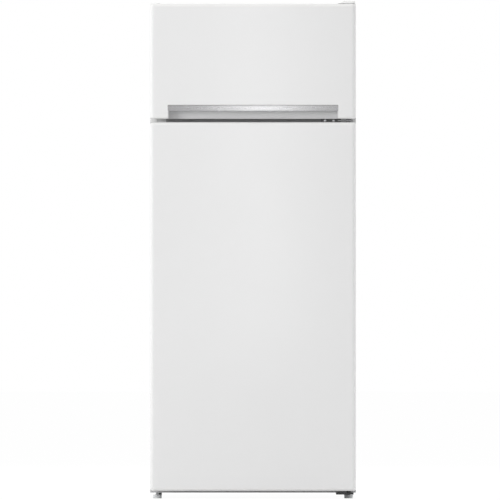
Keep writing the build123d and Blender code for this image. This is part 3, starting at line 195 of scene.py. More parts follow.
def calc(tree, operation, first, second):
    """The result of one arithmetic node."""
    return put(tree, "ShaderNodeMath", {0: first, 1: second}, operation=operation).outputs[0]


def vector_calc(tree, operation, *vectors):
    """The outputs of one vector arithmetic node."""
    return put(tree, "ShaderNodeVectorMath", enumerate(vectors), operation=operation).outputs


def remap(tree, value, low, high, **target):
    """A value from low to high, brought to 0 to 1 or to the stated target."""
    sockets = {"Value": value, "From Min": low, "From Max": high}
    sockets.update((name.replace("_", " "), end) for name, end in target.items())
    return put(tree, "ShaderNodeMapRange", sockets).outputs[0]


def noise(tree, where, scale, detail, **more):
    """The outputs of a noise texture."""
    sockets = {"Vector": where, "Scale": scale, "Detail": detail, **more}
    return put(tree, "ShaderNodeTexNoise", sockets).outputs


def build_grain():
    """Fine even bumps: sprayed paint, moulded plastic."""
    numbers = {"Scale": 300.0, "Detail": 2.0, "Waviness": 0.0}
    tree, given, result = new_group("Fine Grain", numbers, "Height")
    fine = noise(tree, given["Vector"], given["Scale"], given["Detail"], Roughness=0.55)
    wide = noise(tree, given["Vector"], scale=9.0, detail=1.0)
    waves = calc(tree, "MULTIPLY", wide["Fac"], given["Waviness"])
    tree.links.new(calc(tree, "ADD", fine["Fac"], waves), result["Height"])


def build_patches():
    """Slow cloudy variation between 0 and 1."""
    tree, given, result = new_group("Soft Patches", {"Scale": 4.0, "Sharpness": 0.3}, "Mask")
    cloud = noise(tree, given["Vector"], given["Scale"], detail=4.0, Roughness=0.6, Distortion=0.4)
    low = calc(tree, "MULTIPLY", given["Sharpness"], 0.5)
    high = calc(tree, "SUBTRACT", 1.0, low)
    tree.links.new(remap(tree, cloud["Fac"], low, high), result["Mask"])


def build_brushed():
    """Long fine scratches along X: rolled and brushed metal."""
    numbers = {"Across": 2600.0, "Along": 9.0}
    tree, given, result = new_group("Brushed Lines", numbers, "Height", "Streak")
    across = given["Across"]
    size = put(tree, "ShaderNodeCombineXYZ", {"X": given["Along"], "Y": across, "Z": across})
    drawn = vector_calc(tree, "MULTIPLY", given["Vector"], size.outputs[0])[0]
    lines = noise(tree, drawn, scale=1.0, detail=3.0, Roughness=0.6)
    slow = vector_calc(tree, "MULTIPLY", drawn, (0.35, 0.06, 0.06))[0]
    tree.links.new(lines["Fac"], result["Height"])
    tree.links.new(noise(tree, slow, scale=1.0, detail=2.0)["Fac"], result["Streak"])


def build_spangle():
    """The crystal flakes of hot-dipped zinc."""
    tree, given, result = new_group("Zinc Spangle", {"Scale": 90.0}, "Tone", "Height")
    bent = noise(tree, given["Vector"], scale=60.0, detail=2.0)["Color"]
    shifted = vector_calc(tree, "MULTIPLY_ADD", bent, (0.012, 0.012, 0.012), given["Vector"])[0]
    flake = put(tree, "ShaderNodeTexVoronoi", {"Vector": shifted, "Scale": given["Scale"]}).outputs
    tone = put(tree, "ShaderNodeSeparateColor", {"Color": flake["Color"]})
    tree.links.new(tone.outputs[0], result["Tone"])
    tree.links.new(flake["Distance"], result["Height"])


def build_cells():
    """Open foam cells."""
    tree, given, result = new_group("Foam Cells", {"Scale": 420.0}, "Height", "Pore")
    small = put(tree, "ShaderNodeTexVoronoi", {"Vector": given["Vector"], "Scale": given["Scale"]})
    big = put(tree, "ShaderNodeTexVoronoi", {"Vector": given["Vector"], "Scale": 90.0})
    pore = remap(tree, big.outputs["Distance"], low=0.05, high=0.22, To_Min=1.0, To_Max=0.0)
    tree.links.new(calc(tree, "SUBTRACT", small.outputs["Distance"], pore), result["Height"])
    tree.links.new(pore, result["Pore"])


def build_dust():
    """Dust that settles on faces that look up."""
    tree, given, result = new_group("Settled Dust", {"Amount": 0.3}, "Mask")
    facing = put(tree, "ShaderNodeNewGeometry").outputs["Normal"]
    up = remap(tree, put(tree, "ShaderNodeSeparateXYZ", {0: facing}).outputs["Z"], low=0.35, high=1.0)
    cloud = noise(tree, given["Vector"], scale=26.0, detail=6.0)["Fac"]
    both = calc(tree, "MULTIPLY", up, remap(tree, cloud, low=0.35, high=0.75))
    tree.links.new(calc(tree, "MULTIPLY", both, given["Amount"]), result["Mask"])


def build_edges():
    """Where a surface turns a corner, broken up by noise."""
    tree, given, result = new_group("Edge Wear", {"Radius": 0.0012, "Breakup": 260.0}, "Mask")
    soft = put(tree, "ShaderNodeBevel", {"Radius": given["Radius"]}, samples=4).outputs[0]
    facing = put(tree, "ShaderNodeNewGeometry").outputs["Normal"]
    edge = remap(tree, vector_calc(tree, "DOT_PRODUCT", soft, facing)["Value"], low=0.97, high=0.80)
    cloud = noise(tree, given["Vector"], given["Breakup"], detail=3.0)["Fac"]
    some = remap(tree, cloud, low=0.42, high=0.62)
    tree.links.new(calc(tree, "MULTIPLY", edge, some), result["Mask"])


class Finish:
    """A material in the making: a Principled shader, object coordinates and the shared groups."""

    def __init__(self, name, base, roughness, **sockets):
        self.material = bpy.data.materials.new(name)
        self.material.use_nodes = True
        self.tree = self.material.node_tree
        self.tree.nodes.clear()
        self.shader = put(self.tree, "ShaderNodeBsdfPrincipled", {"Roughness": roughness})
        self.shader.inputs["Base Color"].default_value = (*base, 1)
        for socket, value in sockets.items():
            self.shader.inputs[socket.replace("_", " ")].default_value = value
        put(self.tree, "ShaderNodeOutputMaterial", {"Surface": self.shader.outputs[0]})
        self.where = put(self.tree, "ShaderNodeTexCoord").outputs["Object"]

    def use(self, group, **values):
        """Places a shared group and returns its outputs."""
        node = put(self.tree, "ShaderNodeGroup", node_tree=bpy.data.node_groups[group])
        self.tree.links.new(self.where, node.inputs["Vector"])
        for socket, value in values.items():
            node.inputs[socket].default_value = value
        return node.outputs

    def tint(self, mask, other, share):
        """Mixes another colour into the base colour where the mask is high."""
        socket = self.shader.inputs["Base Color"]
        mix = put(self.tree, "ShaderNodeMix", data_type="RGBA")
        self.tree.links.new(calc(self.tree, "MULTIPLY", mask, share), mix.inputs["Factor"])
        if socket.is_linked:
            self.tree.links.new(socket.links[0].from_socket, mix.inputs["A"])
        else:
            mix.inputs["A"].default_value = socket.default_value
        mix.inputs["B"].default_value = (*other, 1)
        self.tree.links.new(mix.outputs["Result"], socket)

    def roughen(self, mask, low, high):
        """Runs the roughness from low to high with the mask."""
        ranged = put(self.tree, "ShaderNodeMapRange", {"Value": mask, "To Min": low, "To Max": high})
        self.tree.links.new(ranged.outputs[0], self.shader.inputs["Roughness"])

    def bump(self, height, distance, strength=1.0):
        """Raises the surface by a height of at most this distance, in metres."""
        socket = self.shader.inputs["Normal"]
        sockets = {"Height": height, "Distance": distance, "Strength": strength}
        node = put(self.tree, "ShaderNodeBump", sockets)
        if socket.is_linked:
            self.tree.links.new(socket.links[0].from_socket, node.inputs["Normal"])
        self.tree.links.new(node.outputs[0], socket)

    def patchy(self, scale, other, share, **shape):
        """Another colour in soft patches."""
        self.tint(self.use("Soft Patches", Scale=scale, **shape)["Mask"], other, share)

    def uneven(self, scale, low, high):
        """Roughness between low and high in soft patches."""
        self.roughen(self.use("Soft Patches", Scale=scale)["Mask"], low, high)

    def dusty(self, amount, dust):
        """Dust of this colour on faces that look up."""
        self.tint(self.use("Settled Dust", Amount=amount)["Mask"], dust, 1.0)

    def grain(self, scale, distance, **shape):
        """Fine bumps of at most this distance."""
        self.bump(self.use("Fine Grain", Scale=scale, **shape)["Height"], distance)


def darker(base, share):
    """A colour with this share of its light taken away."""
    return tuple(c * (1 - share) for c in base)


def paint(finish, *nodes):
    """Gives CAD nodes a finish."""
    for name in nodes:
        slots = NODES[name].material_slots
        if not slots:
            raise RuntimeError(f"{name} has no material slot")
        for slot in slots:
            slot.material = finish


def sprayed(name, base, roughness, scale, relief):
    """Stove enamel on steel sheet."""
    f = Finish(name, base, roughness)
    f.patchy(2.4, darker(base, 0.05), 0.35)
    f.uneven(7.0, roughness - 0.03, roughness + 0.05)
    f.grain(scale, relief, Detail=2.0, Waviness=0.25)
    return f.material


def moulded(name, base, roughness, scale=900.0):
    """Opaque moulded plastic with a spark-eroded grain."""
    f = Finish(name, base, roughness)
    f.patchy(11.0, darker(base, 0.06), 0.4)
    f.uneven(30.0, roughness - 0.04, roughness + 0.06)
    f.grain(scale, 0.00003, Detail=1.0)
    return f.material


def streaked(name, base, roughness, relief, across=2600.0, along=9.0):
    """Brushed or rolled metal."""
    f = Finish(name, base, roughness, Metallic=1.0)
    lines = f.use("Brushed Lines", Across=across, Along=along)
    f.tint(lines["Streak"], darker(base, 0.22), 0.5)
    f.roughen(lines["Streak"], roughness - 0.05, roughness + 0.08)
    f.bump(lines["Height"], relief, 0.6)
    return f.material


def clear(name, base, roughness, wave):
    """Clear moulded plastic with a little haze and flow marks."""
    f = Finish(name, base, roughness, IOR=1.5, Transmission_Weight=0.88)
    f.uneven(14.0, roughness, roughness + 0.12)
    f.grain(70.0, wave, Detail=1.0)
    return f.material


# ---------------------------------------------------------------- modelling helpers
MERGE = 1e-6  # points closer than this are one
SMOOTH_ANGLE = math.radians(35)  # edges sharper than this stay visible
FACING = 0.9  # part of a unit normal that counts as looking that way
ALL_AXES = range(3)


def deselect():
    """Leaves object mode with nothing selected."""
    if bpy.context.object and bpy.context.object.mode != "OBJECT":
        bpy.ops.object.mode_set(mode="OBJECT")
    bpy.ops.object.select_all(action="DESELECT")


def pick(piece):
    """Makes one object the only selected and the active one."""
    deselect()
    bpy.context.view_layer.objects.active = piece
    piece.select_set(True)


def named(name):
    """Names the primitive that was just added."""
    piece = bpy.context.object
    piece.name = piece.data.name = name
    return piece


def choose(piece, test, kind="FACE"):
    """Selects the faces or edges that pass a test, in edit mode and in the piece's own coordinates."""
    if bpy.context.object is not piece or piece.mode != "EDIT":
        pick(piece)
        bpy.ops.object.mode_set(mode="EDIT")
    bpy.ops.mesh.select_mode(type=kind)
    bpy.ops.mesh.select_all(action="DESELECT")
    mesh = bmesh.from_edit_mesh(piece.data)
    for item in {"FACE": mesh.faces, "EDGE": mesh.edges}[kind]:
        if test(item):
            item.select_set(True)
    mesh.select_flush_mode()
    bmesh.update_edit_mesh(piece.data)


def settle(piece):
    """Back to object mode, with doubles merged, faces outwards and the place in the mesh."""
    if piece.mode != "EDIT":
        pick(piece)
        bpy.ops.object.mode_set(mode="EDIT")
    bpy.ops.mesh.select_all(action="SELECT")
    bpy.ops.mesh.remove_doubles(threshold=MERGE)
    bpy.ops.mesh.normals_make_consistent(inside=False)
    bpy.ops.object.mode_set(mode="OBJECT")
    apply_place(piece)


def apply_place(piece):
    """Writes an object's place, turn and scale into its mesh."""
    pick(piece)
    bpy.ops.object.transform_apply(location=True, rotation=True, scale=True)


def soften(piece, width, degrees):
    """Rounds the edges that turn by more than an angle, and shades the rest smooth."""
    pick(piece)
    bevel = piece.modifiers.new("Rounding", "BEVEL")
    bevel.width, bevel.segments, bevel.limit_method = width, 2, "ANGLE"
    bevel.angle_limit = math.radians(degrees)
    bpy.ops.object.modifier_apply(modifier=bevel.name)
    bpy.ops.object.shade_smooth_by_angle(angle=SMOOTH_ANGLE)


def copied(piece, name, place, turn=(0, 0, 0)):
    """A copy with its own mesh, turned about the origin and moved to a place."""
    pick(piece)
    bpy.ops.object.duplicate()
    twin = named(name)
    twin.rotation_euler = turn
    twin.location = place
    apply_place(twin)
    return twin


def joined(pieces, name):
    """Several meshes as one object."""
    deselect()
    for piece in pieces:
        piece.select_set(True)
    bpy.context.view_layer.objects.active = pieces[0]
    bpy.ops.object.join()
    return named(name)


def dress(piece, finish, slot, body, *replaced):
    """Gives a modelled piece its finish and the body it rides on; its record slot is not used."""
    piece.data.materials.clear()
    piece.data.materials.append(finish)
    if replaced:
        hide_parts(*replaced)
    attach(piece, body)


def solids(node):
    """The separate solids of a CAD node, each as the list of its points."""
    mesh = bmesh.new()
    mesh.from_mesh(NODES[node].data)
    bmesh.ops.remove_doubles(mesh, verts=mesh.verts, dist=MERGE)
    found, seen = [], set()
    for start in mesh.verts:
        if start in seen:
            continue
        seen.add(start)
        todo, points = [start], []
        while todo:
            vert = todo.pop()
            points.append(vert.co.copy())
            for edge in vert.link_edges:
                other = edge.other_vert(vert)
                if other not in seen:
                    seen.add(other)
                    todo.append(other)
        found.append(points)
    mesh.free()
    return found


def limits(points):
    """The lowest and the highest corner of the box round some points."""
    return tuple(Vector(end(p[i] for p in points) for i in ALL_AXES) for end in (min, max))


def cylinder(name, sides, radius, depth, place, **more):
    """A cylinder, or a prism with a few sides, that stands on the Z axis unless it is turned."""
    deselect()
    more.update(vertices=sides, radius=radius, depth=depth, location=place)
    bpy.ops.mesh.primitive_cylinder_add(**more)
    return named(name)


# ---------------------------------------------------------------- finishes, one operator per group
class FRIDGE_OT_doors(bpy.types.Operator):
    """Enamel of the door skins and the plastic of their end caps"""

    bl_idname = "fridge.doors"
    bl_label = "Finish the Doors"

    def execute(self, context):
        colours = context.scene.fridge_colours
        enamel = sprayed("door_enamel", colours.door, roughness=0.33, scale=520.0, relief=0.00002)
        paint(enamel, "freezer_door_skin", "fridge_door_skin")
        caps = [f"{door}_door_{end}_cap" for door in ("freezer", "fridge") for end in ("top", "bottom")]
        paint(moulded("cap_plastic", colours.trim, roughness=0.36), *caps)
        return {"FINISHED"}


class FRIDGE_OT_cabinet(bpy.types.Operator):
    """Enamel of the wrapper, base rail and divider, and the white plastic on them; the grey of the rail
    and the divider is painted shade
    """

    bl_idname = "fridge.cabinet"
    bl_label = "Finish the Cabinet"

    def execute(self, context):
        colours = context.scene.fridge_colours
        enamel = sprayed("cabinet_enamel", colours.cabinet, roughness=0.42, scale=240.0, relief=0.00006)
        paint(enamel, "cabinet_wrapper")
        # painted shade: grey on the divider strip darkens the gap between the doors
        divider = sprayed("divider_paint", colours.divider, roughness=0.45, scale=300.0, relief=0.00005)
        paint(divider, "divider_strip")
        # painted shade: grey on the base rail stands in for the shadow under the fridge door
        rail = sprayed("rail_paint", colours.rail, roughness=0.45, scale=300.0, relief=0.00005)
        paint(rail, "front_base_rail")
        paint(moulded("cover_plastic", colours.cover, roughness=0.40), "top_hinge_cover", "hole_plugs")
        return {"FINISHED"}


class FRIDGE_OT_handle(bpy.types.Operator):
    """Brushed bar and the grey recess behind it"""

    bl_idname = "fridge.handle"
    bl_label = "Finish the Handle"

    def execute(self, context):
        colours = context.scene.fridge_colours
        bar = streaked("brushed_bar", colours.grip, roughness=0.25, relief=0.00002)
        paint(bar, "freezer_handle_bar")
        recess = moulded("recess_grey", colours.recess, roughness=0.50, scale=700.0)
        paint(recess, "freezer_handle_recess")
        return {"FINISHED"}


class FRIDGE_OT_hinges(bpy.types.Operator):
    """Plated top hinge, middle hinge in dark grey that is painted shade, and black bottom hinge"""

    bl_idname = "fridge.hinges"
    bl_label = "Finish the Hinges"

    def execute(self, context):
        colours = context.scene.fridge_colours
        plated = streaked(
            "plated_steel", colours.steel, roughness=0.34, relief=0.00002, across=900.0, along=30.0
        )
        paint(plated, "top_hinge")
        # painted shade: dark grey on the middle hinge stands in for the shade in the gap between the
        # doors
        bracket = sprayed("bracket_paint", colours.bracket, roughness=0.50, scale=420.0, relief=0.00004)
        paint(bracket, "middle_hinge")
        f = Finish("black_enamel", colours.black, roughness=0.38)
        f.tint(f.use("Edge Wear")["Mask"], (0.16, 0.16, 0.16), 0.5)
        f.uneven(40.0, 0.32, 0.5)
        f.grain(600.0, 0.00004)
        paint(f.material, "bottom_hinge")
        return {"FINISHED"}


class FRIDGE_OT_liners(bpy.types.Operator):
    """Glossy moulded liners and the foam behind them"""

    bl_idname = "fridge.liners"
    bl_label = "Finish the Liners"

    def execute(self, context):
        colours = context.scene.fridge_colours
        f = Finish("liner_gloss", colours.liner, roughness=0.22)
        f.patchy(5.0, darker(colours.liner, 0.05), 0.4)
        f.uneven(12.0, 0.18, 0.30)
        f.grain(14.0, 0.0004, Detail=1.0, Waviness=0.6)
        paint(f.material, "fridge_liner", "freezer_liner", "freezer_door_liner", "fridge_door_liner")
        f = Finish("rigid_foam", colours.foam, roughness=0.85)
        cells = f.use("Foam Cells")
        f.tint(cells["Pore"], darker(colours.foam, 0.35), 0.6)
        f.patchy(6.0, (0.86, 0.78, 0.55), 0.5)
        f.roughen(cells["Pore"], 0.8, 0.95)
        f.bump(cells["Height"], 0.0012)
        paint(f.material, "cabinet_foam", "freezer_door_foam", "fridge_door_foam")
        return {"FINISHED"}


class FRIDGE_OT_shelves(bpy.types.Operator):
    """Toughened glass, its white front trims and the coated wire shelf"""

    bl_idname = "fridge.shelves"
    bl_label = "Finish the Shelves"

    def execute(self, context):
        colours = context.scene.fridge_colours
        f = Finish("shelf_glass", colours.glass, roughness=0.02, IOR=1.52, Transmission_Weight=1.0)
        f.uneven(9.0, 0.01, 0.05)
        f.grain(12.0, 0.00008, Detail=0.0)
        paint(f.material, "glass_shelves")
        paint(moulded("trim_plastic", colours.trim, roughness=0.30), "shelf_trims")
        f = Finish("coated_wire", colours.liner, roughness=0.32)
        f.patchy(30.0, darker(colours.liner, 0.08), 0.5)
        f.uneven(60.0, 0.26, 0.42)
        f.grain(500.0, 0.00005)
        paint(f.material, "freezer_shelf")
        return {"FINISHED"}


class FRIDGE_OT_drawers(bpy.types.Operator):
    """Clear crispers, door bins and bottle rack"""

    bl_idname = "fridge.drawers"
    bl_label = "Finish the Drawers and Bins"

    def execute(self, context):
        colours = context.scene.fridge_colours
        crispers = clear("crisper_clear", colours.drawers, roughness=0.10, wave=0.0002)
        paint(crispers, "left_crisper", "right_crisper")
        bins = clear("bin_clear", colours.bins, roughness=0.06, wave=0.00012)
        paint(bins, "freezer_door_bins", "fridge_door_bins", "bottle_rack")
        return {"FINISHED"}


class FRIDGE_OT_controls(bpy.types.Operator):
    """Control housing, knob, lamp and light switch"""

    bl_idname = "fridge.controls"
    bl_label = "Finish the Controls"

    def execute(self, context):
        colours = context.scene.fridge_colours
        housing = moulded("housing_plastic", colours.trim, roughness=0.34)
        paint(housing, "control_housing", "control_knob", "light_switch_button")
        paint(moulded("thermostat_grey", darker(colours.foot, 0.1), roughness=0.5), "thermostat")
        f = Finish("ribbed_lens", (0.93, 0.95, 0.95), roughness=0.12, IOR=1.49, Transmission_Weight=0.9)
        wave = {"Vector": f.where, "Scale": 110.0, "Detail": 0.0}
        ribs = put(f.tree, "ShaderNodeTexWave", wave, bands_direction="X")
        f.uneven(30.0, 0.10, 0.22)
        f.bump(ribs.outputs["Fac"], 0.0009)
        paint(f.material, "lamp_cover")
        f = Finish("frosted_bulb", (0.95, 0.94, 0.90), roughness=0.35, IOR=1.45, Transmission_Weight=0.5)
        f.patchy(60.0, (0.88, 0.87, 0.84), 0.5)
        f.uneven(80.0, 0.30, 0.45)
        f.grain(1500.0, 0.00002)
        paint(f.material, "lamp")
        return {"FINISHED"}


class FRIDGE_OT_cooling(bpy.types.Operator):
    """Compressor, condenser, pipes, evaporators, tray, hose and the rollers' black plastic"""

    bl_idname = "fridge.cooling"
    bl_label = "Finish the Cooling Circuit"

    def execute(self, context):
        colours = context.scene.fridge_colours
        f = Finish("dipped_black", colours.black, roughness=0.42)
        f.patchy(18.0, (0.035, 0.035, 0.038), 0.7)
        f.dusty(0.30, (0.30, 0.29, 0.27))
        f.uneven(55.0, 0.34, 0.55)
        f.grain(420.0, 0.00008, Waviness=0.5)
        paint(f.material, "compressor", "condenser")
        f = Finish("drawn_copper", colours.copper, roughness=0.28, Metallic=1.0)
        f.patchy(24.0, (0.42, 0.20, 0.13), 0.55, Sharpness=0.6)
        f.patchy(70.0, (0.88, 0.56, 0.36), 0.35, Sharpness=0.8)
        f.uneven(40.0, 0.22, 0.46)
        f.grain(300.0, 0.00006)
        paint(f.material, "refrigerant_pipes", "filter_drier")
        grey = (0.72, 0.73, 0.74)
        aluminium = streaked(
            "rolled_aluminium", grey, roughness=0.36, relief=0.00003, across=700.0, along=6.0
        )
        paint(aluminium, "freezer_evaporator", "fridge_evaporator")
        f = Finish("motor_steel", (0.38, 0.37, 0.36), roughness=0.45, Metallic=1.0)
        f.patchy(50.0, (0.20, 0.17, 0.14), 0.6, Sharpness=0.5)
        f.uneven(80.0, 0.35, 0.6)
        f.grain(500.0, 0.00008)
        paint(f.material, "compressor_motor")
        f = Finish("black_rubber", (0.022, 0.022, 0.023), roughness=0.72)
        f.dusty(0.35, (0.26, 0.25, 0.24))
        f.uneven(60.0, 0.62, 0.85)
        f.grain(900.0, 0.00006)
        paint(f.material, "compressor_grommets")
        f = Finish("black_plastic", (0.024, 0.024, 0.025), roughness=0.50)
        f.dusty(0.22, (0.28, 0.27, 0.25))
        f.uneven(35.0, 0.42, 0.62)
        f.grain(1100.0, 0.00005)
        paint(f.material, "starter_cover", "drip_tray", "condenser_clips", "left_roller", "right_roller")
        paint(moulded("hose_grey", colours.foot, roughness=0.55), "drain_hose")
        return {"FINISHED"}


class FRIDGE_OT_sheet_metal(bpy.types.Operator):
    """Zinc-coated back panel, deck and base plate, and the plain steel axles"""

    bl_idname = "fridge.sheet_metal"
    bl_label = "Finish the Sheet Metal"

    def execute(self, context):
        colours = context.scene.fridge_colours
        f = Finish("zinc_sheet", colours.zinc, roughness=0.40, Metallic=0.85)
        flakes = f.use("Zinc Spangle")
        f.tint(flakes["Tone"], darker(colours.zinc, 0.25), 0.55)
        f.patchy(5.0, (0.62, 0.64, 0.66), 0.35)
        f.roughen(flakes["Tone"], 0.34, 0.52)
        f.bump(flakes["Height"], 0.00004)
        paint(f.material, "back_panel", "bottom_deck", "base_plate")
        axles = streaked(
            "axle_steel", colours.steel, roughness=0.3, relief=0.00002, across=1200.0, along=40.0
        )
        paint(axles, "roller_axles")
        return {"FINISHED"}


# ---------------------------------------------------------------- modelled pieces
class FRIDGE_OT_door_seals(bpy.types.Operator):
    """Magnetic door seals: a foot, two folds and the flat strip that meets the cabinet"""

    bl_idname = "fridge.door_seals"
    bl_label = "Build the Door Seals"

    # each fold's share of the seal's depth, and how far it pulls in as a share of the neck
    FOLDS = ((0.10, 1.0), (0.16, -0.8), (0.18, 0.7), (0.14, -0.8), (0.42, 0.0))

    def seal(self, sizes, node):
        """One seal, from the outline and the depth of its CAD solid."""
        low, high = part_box(node)
        middle, span = (low + high) / 2, high - low
        deselect()
        bpy.ops.mesh.primitive_plane_add(
            size=1, location=(middle.x, low.y, middle.z), rotation=(math.pi / 2, 0, 0)
        )
        piece = named(node.replace("_gasket", "_seal"))
        piece.scale = (span.x, span.z, 1)
        apply_place(piece)
        choose(piece, lambda face: True)
        bpy.ops.mesh.inset(thickness=sizes.seal_width, depth=0)
        bpy.ops.mesh.delete(type="FACE")
        bpy.ops.mesh.select_all(action="SELECT")
        for share, pull in self.FOLDS:
            bpy.ops.mesh.extrude_region_move(TRANSFORM_OT_translate={"value": (0, share * span.y, 0)})
            if pull:
                thickness = abs(pull) * sizes.seal_neck
                bpy.ops.mesh.inset(thickness=thickness, depth=0, use_boundary=True, use_outset=pull < 0)
        settle(piece)
        soften(piece, sizes.seal_softness, 50)
        return piece

    def execute(self, context):
        vinyl = context.scene.fridge_colours.seal
        f = Finish("seal_vinyl", vinyl, roughness=0.62)
        f.patchy(20.0, darker(vinyl, 0.18), 0.5)
        f.uneven(45.0, 0.55, 0.72)
        f.grain(800.0, 0.00004)
        for body in ("freezer_door", "fridge_door"):
            node = f"{body}_gasket"
            piece = self.seal(context.scene.fridge_sizes, node)
            dress(piece, f.material, "gasket_rubber", body, node)
        return {"FINISHED"}


class FRIDGE_OT_screws(bpy.types.Operator):
    """Pan-head screws of the hinges and hexagon bolts of the compressor"""

    bl_idname = "fridge.screws"
    bl_label = "Build the Screws and Bolts"

    HEAD_ROUNDING = 0.62  # of the pan head's height
    RECESS_TAPER = (0.45, 1, 1)  # the recess's arms at their bottom, against their top
    TIP_FLAT, TIP_ROUNDING = 0.3, 0.12  # of the shaft's radius
    HEX_RING = 0.16  # ring that keeps the shading of the hexagon's top flat, of its radius
    HEX_ROUNDING = 0.05  # of the hexagon's height
    RIM = 0.93  # of the widest reach: points beyond it belong to the head
    TURNS = {  # by axis, and whether the head looks along it
        (2, True): (0, 0, 0), (2, False): (math.pi, 0, 0),
        (1, True): (-math.pi / 2, 0, 0), (1, False): (math.pi / 2, 0, 0),
    }

    def pan_screw(self, sizes, length):
        """A screw along -Z whose head stands on z = 0."""
        top = sizes.head_height
        head = cylinder("pan_head", 32, sizes.head_radius, top, (0, 0, top / 2))
        choose(head, lambda e: all(v.co.z > 0 for v in e.verts), "EDGE")
        bpy.ops.mesh.bevel(offset=top * self.HEAD_ROUNDING, segments=5, profile=0.5)
        settle(head)
        for turn in (0, math.pi / 2):
            deselect()
            bpy.ops.mesh.primitive_cube_add(size=1, location=(0, 0, top), rotation=(0, 0, turn))
            arm = named("recess_arm")
            arm.scale = (sizes.recess_span, sizes.recess_width, 2 * sizes.recess_depth)
            apply_place(arm)
            choose(arm, lambda face: face.normal.z < -FACING)
            bottom = (0, 0, top - sizes.recess_depth)
            bpy.ops.transform.resize(value=self.RECESS_TAPER, center_override=bottom)
            settle(arm)
            pick(head)
            cut = head.modifiers.new("Recess", "BOOLEAN")
            cut.operation, cut.object, cut.solver = "DIFFERENCE", arm, "EXACT"
            bpy.ops.object.modifier_apply(modifier=cut.name)
            bpy.data.objects.remove(arm, do_unlink=True)
        return joined([head, self.shaft(sizes.shaft_radius, length)], "pan_screw")

    def shaft(self, radius, length):
        """A plain rod below z = 0 with a rounded tip."""
        rod = cylinder("shaft", 24, radius, length, (0, 0, -length / 2))
        choose(rod, lambda face: face.normal.z < -FACING)
        bpy.ops.mesh.inset(thickness=radius * self.TIP_FLAT, depth=0)
        settle(rod)
        soften(rod, radius * self.TIP_ROUNDING, 60)
        return rod

    def hex_bolt(self, sizes, length):
        """A bolt along -Z whose hexagon stands on z = 0."""
        radius, height = sizes.bolt_radius, sizes.bolt_height
        head = cylinder("hexagon", 6, radius, height, (0, 0, height / 2))
        choose(head, lambda face: face.normal.z > FACING)
        bpy.ops.mesh.inset(thickness=radius * self.HEX_RING, depth=0)
        settle(head)
        soften(head, height * self.HEX_ROUNDING, 25)
        return joined([head, self.shaft(sizes.bolt_shaft, length)], "hex_bolt")

    def measured(self, points):
        """A CAD fastener's head reach, shaft length, seat and turn, from its points."""
        low, high = limits(points)
        span, place = high - low, (low + high) / 2
        axis = min(ALL_AXES, key=lambda i: abs(span[i - 1] - span[i - 2]))
        across = [i for i in ALL_AXES if i != axis]
        reaches = [max(abs(point[i] - place[i]) for i in across) for point in points]
        widest = max(reaches)
        rim = self.RIM * widest
        head = [point[axis] for point, reach in zip(points, reaches) if reach > rim]
        along = sum(head) / len(head) > place[axis]
        seat = min(head) if along else max(head)
        length = seat - low[axis] if along else high[axis] - seat
        place[axis] = seat
        return widest, length, place, self.TURNS[axis, along]

    def execute(self, context):
        sizes = context.scene.fridge_sizes
        masters, made = {}, []
        for points in solids("fasteners"):
            widest, length, place, turn = self.measured(points)
            hexagon = widest > (sizes.head_radius + sizes.bolt_radius) / 2
            key = (hexagon, round(length, 5))
            if key not in masters:
                masters[key] = self.hex_bolt(sizes, length) if hexagon else self.pan_screw(sizes, length)
            made.append(copied(masters[key], "fastener", place, turn))
        for master in masters.values():
            bpy.data.objects.remove(master, do_unlink=True)
        piece = joined(made, "screws_and_bolts")
        settle(piece)
        bpy.ops.object.shade_smooth_by_angle(angle=SMOOTH_ANGLE)
        steel = context.scene.fridge_colours.steel
        finish = streaked(
            "plated_screw", steel, roughness=0.3, relief=0.00002, across=1500.0, along=200.0
        )
        dress(piece, finish, "steel", "cabinet", "fasteners")
        return {"FINISHED"}


class FRIDGE_OT_dial_marks(bpy.types.Operator):
    """Numbers printed on the thermostat knob and the index on its housing"""

    bl_idname = "fridge.dial_marks"
    bl_label = "Print the Dial Marks"

    DIGITS = 6  # from 0 to 5
    DIAL_SPAN, DIAL_START = math.radians(270), math.radians(22)
    FONT_SHARE = 1.35  # font size against the height of its digits
    RIDGE_HALF = 0.009  # the knob's ridge ends within this distance of its middle

    def word(self, text, sizes, place, turn):
        """A printed word that faces the front, turned in its own plane."""
        deselect()
        bpy.ops.object.text_add(location=(0, 0, 0))
        label = bpy.context.object
        label.data.body = text
        label.data.size = sizes.digit_height * self.FONT_SHARE
        label.data.align_x, label.data.align_y = "CENTER", "CENTER"
        label.data.extrude = sizes.print_height / 2
        label.data.resolution_u = 3
        bpy.ops.object.convert(target="MESH")
        mark = named("mark")
        mark.rotation_euler = (math.pi / 2, turn, 0)
        mark.location = place
        apply_place(mark)
        return mark

    def execute(self, context):
        sizes = context.scene.fridge_sizes
        ink = Finish("dial_print", context.scene.fridge_colours.marks, roughness=0.5)
        ink.patchy(900.0, (0.14, 0.15, 0.18), 0.4)
        ink.uneven(400.0, 0.42, 0.6)
        low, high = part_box("control_knob")
        centre = (low + high) / 2
        knob = NODES["control_knob"].data
        centre.y = min(v.co.y for v in knob.vertices if abs(v.co.x - centre.x) > self.RIDGE_HALF)
        made = []
        for k in range(self.DIGITS):
            turn = self.DIAL_SPAN * k / (self.DIGITS - 1) + self.DIAL_START
            place = centre + Vector((math.sin(turn), 0, math.cos(turn))) * sizes.digit_circle
            made.append(self.word(str(k), sizes, place, turn))
        digits = joined(made, "dial_numbers")
        dress(digits, ink.material, "white_plastic", "thermostat_knob")
        house_low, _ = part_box("control_housing")
        place = (centre.x, house_low.y - sizes.print_height / 2, high.z + sizes.index_radius)
        forwards = (math.pi / 2, 0, 0)
        radius, height = sizes.index_radius, sizes.print_height
        index = cylinder("dial_index", 3, radius, height, place, rotation=forwards)
        settle(index)
        dress(index, ink.material, "white_plastic", "cabinet")
        return {"FINISHED"}


